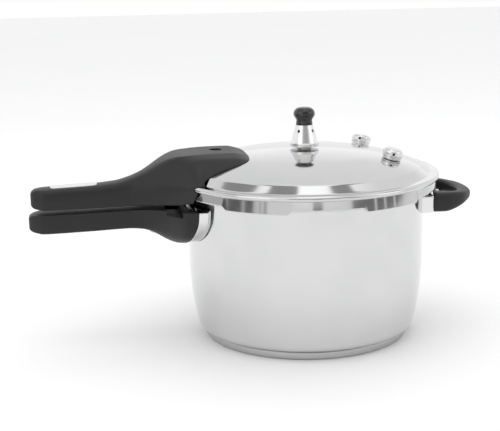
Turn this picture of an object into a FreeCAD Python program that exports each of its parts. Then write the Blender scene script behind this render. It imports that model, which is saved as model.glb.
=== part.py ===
"""Stovetop pressure cooker with two bakelite long handles, a helper handle and a bayonet lid.

+Z is up, the origin is the middle of the base's underside, and the long handles point along -X.
Every size is a cell of the sheet "Sizes"; lengths are in millimetres and angles in degrees.
"""
import FreeCAD, Part
import Sketcher
import math
import os
from FreeCAD import Placement, Rotation, Vector

doc = FreeCAD.newDocument("PressureCooker")
sheet = doc.addObject("Spreadsheet::Sheet", "Sizes")

SIZES = {
    # pot
    "pot_radius": 110, "pot_height": 146, "pot_sheet": 1.2, "belly_radius": 300, "belly_top": 80,
    "corner_radius": 7.5, "rim_reach": 8.5, "rim_gap_reach": 5.2, "lug_width": 28,
    "base_height": 6.8, "base_sheet": 0.8, "groove_height": 0.7, "groove_depth": 3,
    # lid
    "lid_sheet": 1.2, "skirt_clearance": 1.5, "skirt_depth": 16.5, "hook_rise": 3, "hook_reach": 4,
    "gasket_height": 5.5, "gasket_gap": 0.3, "gasket_width": 9.2, "gasket_lip": 1.6,
    "bead_reach": 3.3, "bead_radius": 2.5, "shoulder_reach": 5, "shoulder_height": 3,
    "crown_radius": 545, "crown_reach": 57, "flank_radius": 192,
    # upper handle: reaches count out from the pot wall, heights from the lid's flat land
    "grip_reach": 143, "grip_half": 14, "grip_drop": 23.6, "grip_top_drop": 4.6, "neck_reach": 58,
    "neck_rise": 4, "slope_reach": 24, "slope_rise": 17.5, "hood_reach": 11, "hood_rise": 23.5,
    "nose_inset": 55.5, "nose_top_inset": 38, "hood_root_half": 52, "hood_nose_half": 40,
    "hood_flat_half": 22, "hood_wall": 1.8, "cavity_half": 13, "seat_gap": 0.3,
    "plate_length": 42, "plate_half": 6.5, "plate_thick": 1.2, "plate_reach": 104,
    # lid bracket, lever and bolt
    "bracket_sheet": 1.5, "bracket_half": 5.5, "tongue_reach": 36, "tongue_half": 11, "tongue_rise": 5.3,
    "tongue_thick": 2, "ear_gap": 8.2, "ear_thick": 1.4, "pivot_reach": 6, "pivot_rise": 13.3,
    "pivot_pin_radius": 1.2, "running_gap": 0.05, "lever_sheet": 1.1, "lever_half": 7.6,
    "lever_tail_half": 3.5, "lever_bar_inset": 8.5, "bolt_reach": 18, "bolt_thick": 4, "bolt_half": 6,
    "screw_radius": 2, "screw_head_radius": 4, "screw_head_height": 3, "upper_screw_reach": 29,
    # float valve
    "float_inset": 26.5, "float_boss_radius": 8.5, "float_boss_rise": 0.8, "float_boss_thick": 5.2,
    "float_stem_radius": 2.5, "float_thread_radius": 5, "float_flange_radius": 7, "float_knob_radius": 3.3,
    "float_shoulder_radius": 5.6, "float_travel": 2.8, "float_window_radius": 5.75,
    # vent pipe and weight
    "vent_radius": 3, "vent_bore": 1.2, "vent_flange_radius": 6.5, "vent_flange_height": 1.4,
    "vent_height": 17, "weight_lift_gap": 0.4, "weight_radius": 13.5, "weight_band": 3.2,
    "weight_height": 20, "weight_neck": 7.8, "weight_hole": 1.4, "weight_hole_height": 14.5,
    "cap_radius": 10, "cap_height": 16.3, "nut_height": 4.5, "nut_reach": 3.4, "washer_height": 1.2,
    # safety valves
    "valve_reach": 82, "rear_bearing": 36, "front_bearing": 27, "valve_radius": 9,
    "valve_foot_height": 1.6, "valve_groove": 0.6, "valve_cap_height": 7.4, "valve_cap_round": 3.2,
    "valve_wall": 1.2, "valve_thread_radius": 5, "valve_seat_depth": 4.5, "valve_seat_bore": 1.6, "plunger_radius": 3.4, "plunger_lift": 2, "valve_hole": 1.25,
    "spring_wire": 0.35, "spring_radius": 2.8, "spring_turns": 6,
    # lower handle: heights from the pot's rim
    "pot_handle_reach": 145.5, "pot_grip_half": 14, "pot_grip_drop": 37, "pot_grip_top_drop": 20.6,
    "root_top_drop": 17.6, "root_bottom_drop": 52.4, "root_half": 50, "root_turn": 30,
    "ferrule_length": 7.5, "ferrule_sheet": 1, "ferrule_step": 0.8, "notch_depth": 4.8, "notch_length": 15,
    "notch_half": 9, "bolt_pocket_depth": 10, "bolt_pocket_far": 26, "foot_screw_reach": 32,
    "foot_tongue_drop": 33,
    # helper handle
    "helper_reach": 48.5, "helper_ferrule_length": 10, "helper_half": 45, "helper_top_drop": 12.2,
    "helper_bottom_drop": 30.5,
    "helper_ring": 13, "helper_bar": 7.5, "helper_end_rise": 9, "helper_corner": 4,
}
for row, (alias, value) in enumerate(SIZES.items(), start=1):
    sheet.set("A%d" % row, alias)
    sheet.set("B%d" % row, str(value))
    sheet.setAlias("B%d" % row, alias)
doc.recompute()

LUGS = 6
WEIGHT_HOLES = 4


class Size:
    """A number together with the sheet expression it comes from."""

    def __init__(self, value, text=None):
        self.value = float(value)
        self.text = text if text else repr(float(value))

    def join(self, other, sign, value):
        return Size(value, "(%s %s %s)" % (self.text, sign, other.text))

    def __add__(self, other):
        other = as_size(other)
        return self.join(other, "+", self.value + other.value)

    def __sub__(self, other):
        other = as_size(other)
        return self.join(other, "-", self.value - other.value)

    def __mul__(self, other):
        other = as_size(other)
        return self.join(other, "*", self.value * other.value)

    def __truediv__(self, other):
        other = as_size(other)
        return self.join(other, "/", self.value / other.value)

    def __radd__(self, other):
        return as_size(other) + self

    def __rsub__(self, other):
        return as_size(other) - self

    def __rmul__(self, other):
        return as_size(other) * self

    def __neg__(self):
        return as_size(0) - self


def as_size(value):
    return value if isinstance(value, Size) else Size(value)


def root(size):
    return Size(math.sqrt(size.value), "sqrt(%s)" % size.text)


def size(alias):
    return Size(sheet.get(alias), "Sizes." + alias)


def bind(thing, name, value):
    """Sets a property to a size and keeps it tied to the sheet."""
    value = as_size(value)
    if "." not in name:
        setattr(thing, name, value.value)
    if "Sizes." in value.text:
        thing.setExpression(name, value.text)


def chord_drop(radius, reach):
    """How far an arc of this radius falls over this reach, from where it is level."""
    return radius - root(radius * radius - reach * reach)


# ---------------------------------------------------------------- sketches and bodies

def new_body(name):
    body = doc.addObject("PartDesign::Body", name)
    body.Label = name
    return body


def attach(body, name, plane, offset=0):
    sketch = body.newObject("Sketcher::SketchObject", name)
    origin = [f for f in body.Origin.OriginFeatures if f.Role == plane][0]
    sketch.AttachmentSupport = [(origin, "")]
    sketch.MapMode = "FlatFace"
    if offset:
        bind(sketch, "AttachmentOffset.Base.z", offset)
        sketch.AttachmentOffset = Placement(Vector(0, 0, as_size(offset).value), Rotation())
    return sketch


def draw(sketch, corners):
    """A closed outline. A corner is (x, y), or (x, y, radius) when an arc arrives there:
    a positive radius turns left on the way and a negative one turns right."""
    corners = [tuple(as_size(v) for v in corner) for corner in corners]
    ends = []
    for index, corner in enumerate(corners):
        last = corners[index - 1]
        a = Vector(last[0].value, last[1].value, 0)
        b = Vector(corner[0].value, corner[1].value, 0)
        if len(corner) == 2:
            edge = sketch.addGeometry(Part.LineSegment(a, b), False)
            ends.append((edge, 1, 2))
            continue
        radius = abs(corner[2].value)
        turn = 1 if corner[2].value > 0 else -1
        along = b - a
        rise = math.sqrt(max(radius * radius - along.Length ** 2 / 4, 0))
        left = Vector(-along.y, along.x, 0).normalize() * turn
        centre = (a + b) * 0.5 + left * rise
        first, second = (a, b) if turn > 0 else (b, a)
        start = math.atan2(first.y - centre.y, first.x - centre.x)
        stop = math.atan2(second.y - centre.y, second.x - centre.x)
        circle = Part.Circle(centre, Vector(0, 0, 1), radius)
        edge = sketch.addGeometry(Part.ArcOfCircle(circle, start, stop), False)
        ends.append((edge, 1, 2) if turn > 0 else (edge, 2, 1))
    for index, corner in enumerate(corners):
        edge, _, head = ends[index]
        following, tail, _ = ends[(index + 1) % len(ends)]
        sketch.addConstraint(Sketcher.Constraint("Coincident", edge, head, following, tail))
        for kind, value, axis in (("DistanceX", corner[0], -2), ("DistanceY", corner[1], -1)):
            if abs(value.value) < 1e-9:
                sketch.addConstraint(Sketcher.Constraint("PointOnObject", edge, head, axis))
                continue
            place = sketch.addConstraint(Sketcher.Constraint(kind, -1, 1, edge, head, value.value))
            if "Sizes." in value.text:
                sketch.setExpression("Constraints[%d]" % place, value.text)
        if len(corner) == 3:
            radius = corner[2] if corner[2].value > 0 else -corner[2]
            place = sketch.addConstraint(Sketcher.Constraint("Radius", edge, radius.value))
            if "Sizes." in radius.text:
                sketch.setExpression("Constraints[%d]" % place, radius.text)
    return sketch


def turned(name, corners, angle=360):
    """A body turned about Z from an outline of (radius, height) corners."""
    body = new_body(name)
    sketch = draw(attach(body, name + "_outline", "XZ_Plane"), corners)
    feature = body.newObject("PartDesign::Revolution", name + "_turn")
    feature.Profile = sketch
    feature.ReferenceAxis = (sketch, ["V_Axis"])
    feature.Angle = angle
    feature.Midplane = angle != 360
    sketch.Visibility = False
    return body


def plate(name, plane, corners, thickness, offset=0, both_ways=False):
    """A body padded from an outline on one of its origin planes."""
    body = new_body(name)
    sketch = draw(attach(body, name + "_outline", plane, offset), corners)
    feature = body.newObject("PartDesign::Pad", name + "_pad")
    feature.Profile = sketch
    bind(feature, "Length", thickness)
    feature.Midplane = both_ways
    sketch.Visibility = False
    return body


# ---------------------------------------------------------------- primitives and booleans

def place(thing, x=0, y=0, z=0):
    for axis, value in (("x", x), ("y", y), ("z", z)):
        value = as_size(value)
        bind(thing, "Placement.Base." + axis, value)
    base = Vector(*(as_size(v).value for v in (x, y, z)))
    thing.Placement = Placement(base, thing.Placement.Rotation)
    return thing


def rod(name, radius, height, x=0, y=0, z=0):
    thing = doc.addObject("Part::Cylinder", name)
    bind(thing, "Radius", radius)
    bind(thing, "Height", height)
    return place(thing, x, y, z)


def cross_rod(name, radius, length, x, y, z, axis):
    """A cylinder centred on (x, y, z) and lying along a horizontal axis."""
    thing = rod(name, radius, length)
    thing.Placement = Placement(Vector(), Rotation(Vector(0, 0, 1), axis))
    half = as_size(length) / 2
    return place(thing, x - half * axis.x, y - half * axis.y, z)


def block(name, low, high):
    thing = doc.addObject("Part::Box", name)
    for edge, a, b in zip(("Length", "Width", "Height"), low, high):
        bind(thing, edge, as_size(b) - as_size(a))
    return place(thing, *low)


def hexagon(name, radius, height, x=0, z=0):
    thing = doc.addObject("Part::Prism", name)
    thing.Polygon = 6
    bind(thing, "Circumradius", radius)
    bind(thing, "Height", height)
    return place(thing, x, 0, z)


def fuse(name, *things):
    joined = doc.addObject("Part::MultiFuse", name)
    joined.Shapes = list(things)
    return joined


def common(name, *things):
    joined = doc.addObject("Part::MultiCommon", name)
    joined.Shapes = list(things)
    return joined


def cut(name, base, *tools):
    thing = doc.addObject("Part::Cut", name)
    thing.Base = base
    thing.Tool = tools[0] if len(tools) == 1 else fuse(name + "_tools", *tools)
    return thing


def sectors(name, inner, outer, low, height, width, first):
    """Ring sectors at even steps round Z, each this many degrees wide."""
    pieces = []
    for index in range(LUGS):
        label = "%s_%d" % (name, index)
        wedge = rod(label + "_wedge", outer, height, z=low)
        bind(wedge, "Angle", width)
        turn = (first + index * 360 / LUGS) - as_size(width) / 2
        wedge.Placement = Placement(wedge.Placement.Base, Rotation(Vector(0, 0, 1), turn.value))
        wedge.setExpression("Placement.Rotation.Angle", turn.text)
        pieces.append(wedge)
    core = rod(name + "_core", inner, as_size(height) + 2, z=as_size(low) - 1)
    return cut(name, fuse(name + "_wedges", *pieces), core)


finished = []


def finish(thing, name):
    """Marks an object as a finished piece with its own label."""
    thing.Label = name
    finished.append(thing)
    return thing


# ---------------------------------------------------------------- shared places

R = size("pot_radius")
sheet_pot = size("pot_sheet")
sheet_lid = size("lid_sheet")
rim_top = size("pot_height")
pot_floor = size("base_height") + size("groove_height")
seat = rim_top + size("gasket_gap") + size("gasket_height")
land = seat + sheet_lid
skirt_inner = R + size("rim_reach") + size("skirt_clearance")
skirt_outer = skirt_inner + sheet_lid
skirt_low = land - size("skirt_depth")
bead_outer = skirt_outer + size("bead_reach")

# the belly arc meets the corner arc where both lean by the same angle
belly, corner = size("belly_radius"), size("corner_radius")
lean_sine = (size("belly_top") - pot_floor - corner) / (belly - corner)
lean_cosine = root(1 - lean_sine * lean_sine)
flat_radius = R - belly * (1 - lean_cosine) - corner * lean_cosine

# the lid's dome: a level crown arc, then a tighter flank arc down to the shoulder
crown, flank = size("crown_radius"), size("flank_radius")
shoulder = R + size("shoulder_reach")
crown_sine = size("crown_reach") / crown
crown_cosine = root(1 - crown_sine * crown_sine)
flank_sine = crown_sine + (shoulder - size("crown_reach")) / flank
flank_cosine = root(1 - flank_sine * flank_sine)
shoulder_top = land + size("shoulder_height")
crown_edge = shoulder_top + flank * (crown_cosine - flank_cosine)
apex = crown_edge + crown * (1 - crown_cosine)


def dome_height(reach):
    """Height of the dome's outer face at a reach beyond the crown arc's edge."""
    sine = crown_sine + (reach - size("crown_reach")) / flank
    return crown_edge - flank * (crown_cosine - root(1 - sine * sine))


def dome_outline(lift, low):
    """The dome's outline raised by lift along its normal, closed down to the height low."""
    shoulder_corner = [(shoulder + lift, shoulder_top)] if lift else []
    return [
        (0, low),
        (shoulder + lift, low),
        *shoulder_corner,
        (shoulder + lift * flank_sine, shoulder_top + lift * flank_cosine),
        (size("crown_reach") + lift * crown_sine, crown_edge + lift * crown_cosine, flank + lift),
        (0, apex + lift, crown + lift),
    ]


# ---------------------------------------------------------------- pot

def make_pot():
    inner_belly, inner_corner = belly - sheet_pot, corner - sheet_pot
    bend_height = pot_floor + corner * (1 - lean_sine)
    shell = turned("pot_wall", [
        (0, pot_floor),
        (flat_radius, pot_floor),
        (flat_radius + corner * lean_cosine, bend_height, corner),
        (R, size("belly_top"), belly),
        (R, rim_top - sheet_pot),
        (R + size("rim_reach"), rim_top - sheet_pot),
        (R + size("rim_reach"), rim_top),
        (R - sheet_pot, rim_top),
        (R - sheet_pot, size("belly_top")),
        (flat_radius + inner_corner * lean_cosine, bend_height + sheet_pot * lean_sine, -inner_belly),
        (flat_radius, pot_floor + sheet_pot, -inner_corner),
        (0, pot_floor + sheet_pot),
    ])
    gaps = sectors("rim_gaps", R + size("rim_gap_reach"), R + size("rim_reach") + 1,
                   rim_top - sheet_pot - 1, sheet_pot + 2, 360 / LUGS - size("lug_width"), 0)
    finish(cut("pot_shell_cut", shell, gaps), "pot_shell")

    core_radius = flat_radius - size("base_sheet")
    core = rod("core_disc", core_radius, size("base_height") - size("base_sheet"), z=size("base_sheet"))
    disc = rod("base_disc", flat_radius, size("base_height"))
    finish(cut("base_cup_cut", disc, rod("core_space", core_radius, size("base_height"),
                                         z=size("base_sheet"))),
           "base_cup")
    neck_radius = flat_radius - size("groove_depth")
    neck = rod("core_neck", neck_radius, size("groove_height"), z=size("base_height"))
    finish(fuse("base_core_fuse", core, neck), "base_core")


# ---------------------------------------------------------------- lid

float_x = -(R - size("float_inset"))
float_seat = dome_height(R - size("float_inset")) + size("float_boss_rise")
valve_height = dome_height(size("valve_reach"))
valve_sine = crown_sine + (size("valve_reach") - size("crown_reach")) / flank
VALVES = {"rear": 1, "front": -1}
HOLE_TURNS = {"rear": 30, "front": 16}


def on_valve_axis(thing, side):
    """Leans a piece made upright on the origin onto a safety valve's axis, square to the dome."""
    bearing = math.radians(side * size("rear_bearing" if side > 0 else "front_bearing").value)
    tilt = math.degrees(math.asin(valve_sine.value))
    reach = size("valve_reach").value
    base = Vector(reach * math.cos(bearing), reach * math.sin(bearing), valve_height.value)
    thing.Placement = Placement(base, Rotation(Vector(-math.sin(bearing), math.cos(bearing), 0), tilt))
    return thing


def make_lid():
    lid_floor = crown - sheet_lid
    shell = turned("lid_wall", [
        (0, apex - sheet_lid),
        (size("crown_reach") - sheet_lid * crown_sine, crown_edge - sheet_lid * crown_cosine, -lid_floor),
        (shoulder - sheet_lid * flank_sine, shoulder_top - sheet_lid * flank_cosine, sheet_lid - flank),
        (shoulder - sheet_lid, shoulder_top - sheet_lid),
        (shoulder - sheet_lid, seat),
        (skirt_inner, seat),
        (skirt_inner, skirt_low),
        (skirt_outer, skirt_low),
        (skirt_outer, land - 2 * size("bead_radius")),
        (bead_outer, land - size("bead_radius"), size("bead_radius") * 1.7),
        (bead_outer - size("bead_radius"), land, size("bead_radius")),
        (shoulder, land),
        (shoulder, shoulder_top),
        (size("crown_reach"), crown_edge, flank),
        (0, apex, crown),
    ])
    hooks = sectors("hooks", R + size("rim_reach") + size("skirt_clearance") - size("hook_reach"),
                    skirt_outer, skirt_low + size("hook_rise"), sheet_lid, size("lug_width"), 30)
    notches = sectors("skirt_notches", skirt_inner - 1, skirt_outer + 1,
                      skirt_low - 1, size("hook_rise") + 1, size("lug_width"), 30)
    boss = rod("float_boss", size("float_boss_radius"), size("float_boss_thick"),
               x=float_x, z=float_seat - size("float_boss_thick"))
    notched = fuse("lid_fuse", cut("lid_notched", shell, notches), hooks, boss)
    holes = [
        rod("vent_hole", size("vent_radius"), 30, z=apex - 20),
        rod("float_hole", size("float_thread_radius"), 30, x=float_x, z=float_seat - 20),
        rod("float_spot", size("float_boss_radius"), 10, x=float_x, z=float_seat),
    ]
    for name, side in VALVES.items():
        hole = doc.addObject("Part::Cylinder", "valve_hole_" + name)
        bind(hole, "Radius", size("valve_thread_radius"))
        hole.Height = 30
        on_valve_axis(hole, side)
        hole.Placement = hole.Placement.multiply(Placement(Vector(0, 0, -15), Rotation()))
        holes.append(hole)
    finish(cut("lid_shell_cut", notched, *holes), "lid_shell")

    ring_inner = R + size("rim_reach") - size("gasket_width")
    lip = size("gasket_lip")
    ring_outer = skirt_inner - size("seat_gap")
    low = rim_top + size("gasket_gap")
    finish(turned("gasket_ring", [
        (ring_inner, low), (ring_outer, low), (ring_outer, seat), (ring_inner, seat),
        (ring_inner, seat - lip), (ring_outer - 2 * lip, seat - lip),
        (ring_outer - 2 * lip, low + lip), (ring_inner, low + lip),
    ]), "gasket")


# ---------------------------------------------------------------- handles

def spread(points):
    """Outline corners mirrored across the X axis: given along one side, closed along the other."""
    arcs = [tuple(point[2:]) for point in points[1:]] + [()]
    mirrored = [(point[0], -as_size(point[1])) + arc for point, arc in zip(points, arcs)]
    return points + mirrored[::-1]


hood_top = land + size("hood_rise")
grip_low = land - size("grip_drop")
grip_top = land - size("grip_top_drop")
bolt_x = -(R + size("bolt_reach"))
pivot_x = -(R - size("pivot_reach"))
pivot_z = land + size("pivot_rise")
tongue_low = land + size("tongue_rise")
tongue_top = tongue_low + size("tongue_thick")
lever_low = float_seat + 2.5
tail_low = pivot_z - 2.1
tail_high = tail_low + size("lever_sheet")
upper_screw_x = -(R + size("upper_screw_reach"))
pot_grip_top = rim_top - size("pot_grip_top_drop")
pot_grip_low = rim_top - size("pot_grip_drop")
root_top = rim_top - size("root_top_drop")
root_low = rim_top - size("root_bottom_drop")
root_radius = R + size("ferrule_length")
helper_root = R + size("helper_ferrule_length")


def make_upper_handle():
    end = R + size("grip_reach")
    neck = R + size("neck_reach")
    slope = R + size("slope_reach")
    side = plate("upper_side", "XZ_Plane", [
        (-end, grip_low + 5),
        (-(end - 5), grip_low, 7),
        (-(R + 50), grip_low + 1.5),
        (-(skirt_outer + 1), grip_low + 4),
        (-(skirt_outer + 1), skirt_low),
        (-(R - size("nose_inset")), skirt_low),
        (-(R - size("nose_inset")), hood_top - 10),
        (-(R - size("nose_top_inset")), hood_top),
        (-(R - size("hood_reach")), hood_top),
        (-slope, land + size("slope_rise"), 70),
        (-neck, grip_top + size("neck_rise"), -120),
        (-(neck + 26), grip_top + 1, -90),
        (-(end - 10), grip_top),
        (-end, grip_top - 8, 11),
    ], 2 * size("hood_root_half") + 10, both_ways=True)
    plan = plate("upper_plan", "XY_Plane", spread([
        (-end, 1),
        (-(end - size("grip_half")), size("grip_half"), -size("grip_half") - 0.5),
        (-(neck + 4), size("grip_half") + 0.5),
        (-(R + 12), size("hood_root_half") - 6, 75),
        (-(R - 1), size("hood_root_half"), -14),
        (-(R - 14), size("hood_root_half") - 4),
        (-(R - size("nose_inset") + 6), size("hood_nose_half")),
        (-(R - size("nose_inset")), size("hood_nose_half") - 7, -8),
    ]), 80, offset=grip_low - 5)
    end_view = plate("upper_front", "YZ_Plane", [
        (-20, grip_low - 1),
        (20, grip_low - 1),
        (size("hood_root_half") + 2, skirt_low + 1),
        (size("hood_root_half") + 2, land + 3),
        (size("hood_nose_half") - 4, land + 15),
        (size("hood_flat_half"), hood_top),
        (-size("hood_flat_half"), hood_top),
        (4 - size("hood_nose_half"), land + 15),
        (-size("hood_root_half") - 2, land + 3),
        (-size("hood_root_half") - 2, skirt_low + 1),
    ], 300, offset=-R - 180)
    block_out = common("upper_block", side, plan, end_view)
    gap = size("seat_gap")
    lid_space = turned("upper_lid_space", dome_outline(gap, grip_low - 10))
    bead_space = rod("upper_bead_space", bead_outer + gap, land + gap - grip_low + 10, z=grip_low - 10)
    half = size("cavity_half")
    inner_x = float_x + size("lever_bar_inset") + 2
    roof = hood_top - size("hood_wall")
    tools = [
        lid_space,
        bead_space,
        block("upper_hollow", (-(R - 9), -half, seat), (inner_x, half, roof)),
        block("upper_hollow_out", (bolt_x - 4, -half, tongue_top), (-(R - 10), half, land + 16)),
        block("upper_pivot_space", (-(R + 2), -half, tongue_top), (-(R - 10), half, pivot_z + 4)),
        block("upper_tongue_slot", (-(R + size("tongue_reach") + gap), -size("tongue_half") - gap,
                                    tongue_low - gap),
              (-(R - 10), size("tongue_half") + gap, tongue_top + gap)),
        block("upper_strap_slot", (-(shoulder + gap), -size("tongue_half") - gap, shoulder_top),
              (-(R - 10), size("tongue_half") + gap, tongue_top)),
        block("upper_bolt_slot", (bolt_x - 0.1 - size("bolt_thick") / 2, -size("bolt_half") - 0.1,
                                  grip_low - 5),
              (bolt_x + 0.1 + size("bolt_thick") / 2, size("bolt_half") + 0.1, tongue_top + 1)),
        rod("float_window", size("float_window_radius"), 20, x=float_x, z=roof - 5),
        rod("upper_screw_hole", size("screw_radius"), 40, x=upper_screw_x, z=grip_low - 5),
        rod("upper_screw_well", size("screw_head_radius") + 0.5, 10,
            x=upper_screw_x, z=grip_low + size("screw_head_height") + 2 - 10),
    ]
    trimmed = cut("upper_trimmed", block_out, *tools)
    plate_x = -(R + size("plate_reach"))
    plate_low = grip_top + 1 - size("plate_thick")
    recess = block("plate_recess",
                   (plate_x - size("plate_length") / 2, -size("plate_half"), plate_low),
                   (plate_x + size("plate_length") / 2, size("plate_half"), grip_top + 20))
    finish(cut("upper_handle_cut", trimmed, recess), "upper_handle")
    finish(block("plate_block",
                 (plate_x - size("plate_length") / 2, -size("plate_half"), plate_low),
                 (plate_x + size("plate_length") / 2, size("plate_half"), plate_low + size("plate_thick"))),
           "nameplate")


def u_outline(trim=0):
    """The pot handle root seen along the handle: flat on top, drawn in to a round bottom."""
    half = size("root_half") - trim
    low = root_low + trim
    return [
        (-half, root_top - trim),
        (-half + 3, root_top - 16, 60),
        (-half + 14, low + 7, 40),
        (0, low, size("root_turn") + 24 - trim),
        (half - 14, low + 7, size("root_turn") + 24 - trim),
        (half - 3, root_top - 16, 40),
        (half, root_top - trim, 60),
    ]


def sleeve(name, outer, inner, radius_in, radius_out, low, height):
    """A bent-sheet sleeve between two cylinders round the pot's axis."""
    ring = cut(name + "_ring", rod(name + "_out", radius_out, height, z=low),
               rod(name + "_in", radius_in, height + 2, z=low - 1))
    return common(name + "_common", cut(name + "_tube", outer, inner), ring)


def make_lower_handle():
    end = R + size("pot_handle_reach")
    step = size("ferrule_step")
    side = plate("lower_side", "XZ_Plane", [
        (-end, pot_grip_low + 6),
        (-(end - 6), pot_grip_low, 8),
        (-(R + 50), pot_grip_low + 0.4),
        (-(R + 38), pot_grip_low - 3.4, -30),
        (-(R + 20), root_low + 2),
        (-(R + 6), root_low - 0.5, 20),
        (-(R - 20), root_low - 0.5),
        (-(R - 20), root_top + 0.3),
        (-(R + 14), root_top + 0.3),
        (-(R + 60), pot_grip_top),
        (-(end - 6), pot_grip_top - 0.3),
        (-end, pot_grip_top - 6, 8),
    ], 2 * size("root_half") + 10, both_ways=True)
    plan = plate("lower_plan", "XY_Plane", spread([
        (-end, 1),
        (-(end - size("pot_grip_half")), size("pot_grip_half"), -size("pot_grip_half") - 0.5),
        (-(R + 56), size("pot_grip_half") + 0.5),
        (-(R + 6), size("root_half") - 2, 70),
        (-(R - 20), size("root_half") + step),
    ]), 80, offset=root_low - 10)
    front = plate("lower_front", "YZ_Plane", u_outline(-step), 300, offset=-R - 200)
    blank = common("lower_block", side, plan, front)
    pocket_x = bolt_x
    tools = [
        rod("lower_wall_space", root_radius, 80, z=root_low - 10),
        block("lock_notch", (-(R + 2 + size("notch_length")), -size("root_half") - 5,
                             root_top - size("notch_depth")),
              (-(R + 2), -size("notch_half"), root_top + 10)),
        block("bolt_pocket",
              (pocket_x - size("bolt_thick") / 2 - 3, -size("bolt_half") - 1,
               root_top - size("bolt_pocket_depth")),
              (pocket_x + size("bolt_thick") / 2 + 6, size("bolt_pocket_far"), root_top + 10)),
        block("lower_tongue_slot", (-(R + size("foot_screw_reach") + 8), -9,
                                    rim_top - size("foot_tongue_drop")),
              (-R, 9, rim_top - size("foot_tongue_drop") + size("tongue_thick"))),
        rod("lower_screw_hole", size("screw_radius"), 17, x=-(R + size("foot_screw_reach")),
            z=rim_top - size("foot_tongue_drop") - 13),
        rod("lower_screw_well", size("screw_head_radius") + 0.5, 16, x=-(R + size("foot_screw_reach")),
            z=rim_top - size("foot_tongue_drop") - 8 - 16),
    ]
    finish(cut("lower_handle_cut", blank, *tools), "lower_handle")

    outer = plate("lower_ferrule_outer", "YZ_Plane", u_outline(), 60, offset=-R - 40)
    inner = plate("lower_ferrule_inner", "YZ_Plane", u_outline(size("ferrule_sheet")), 62, offset=-R - 41)
    finish(sleeve("lower_ferrule_sleeve", outer, inner, R, root_radius, root_low - 10, 80), "lower_ferrule")

    height = 2 * size("tongue_thick") + 14
    foot_low = rim_top - size("foot_tongue_drop") - 6
    saddle = common("lower_saddle",
                    cut("lower_saddle_ring", rod("lower_saddle_out", R + 2, height, z=foot_low),
                        rod("lower_saddle_in", R, height + 2, z=foot_low - 1)),
                    block("lower_saddle_span", (-R - 5, -24, foot_low - 1),
                          (-R / 2, 24, foot_low + height + 1)))
    arm = block("lower_arm", (-(R + size("foot_screw_reach") + 8), -9, rim_top - size("foot_tongue_drop")),
                (-(R - 1), 9, rim_top - size("foot_tongue_drop") + size("tongue_thick")))
    arm = cut("lower_arm_cut", arm, rod("lower_arm_inside", R, 20, z=foot_low),
              rod("lower_arm_hole", size("screw_radius"), 20, x=-(R + size("foot_screw_reach")),
                  z=foot_low))
    finish(fuse("lower_bracket_fuse", saddle, arm), "lower_handle_bracket")
    finish(screw("lower_screw", -(R + size("foot_screw_reach")), rim_top - size("foot_tongue_drop") - 8,
                 11),
           "lower_handle_screw")


def screw(name, x, seat_z, length, y=0):
    """A cross-head screw standing on its head, its shank pointing up."""
    head = rod(name + "_head", size("screw_head_radius"), size("screw_head_height"),
               x=x, y=y, z=as_size(seat_z) - size("screw_head_height"))
    shank = rod(name + "_shank", size("screw_radius"), length, x=x, y=y, z=seat_z)
    low = as_size(seat_z) - size("screw_head_height") - 1
    slots = [
        block(name + "_slot_a", (x - 2.4, as_size(y) - 0.4, low), (x + 2.4, as_size(y) + 0.4, low + 2.5)),
        block(name + "_slot_b", (x - 0.4, as_size(y) - 2.4, low), (x + 0.4, as_size(y) + 2.4, low + 2.5)),
    ]
    return cut(name + "_cut", fuse(name + "_fuse", head, shank), *slots)


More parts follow.
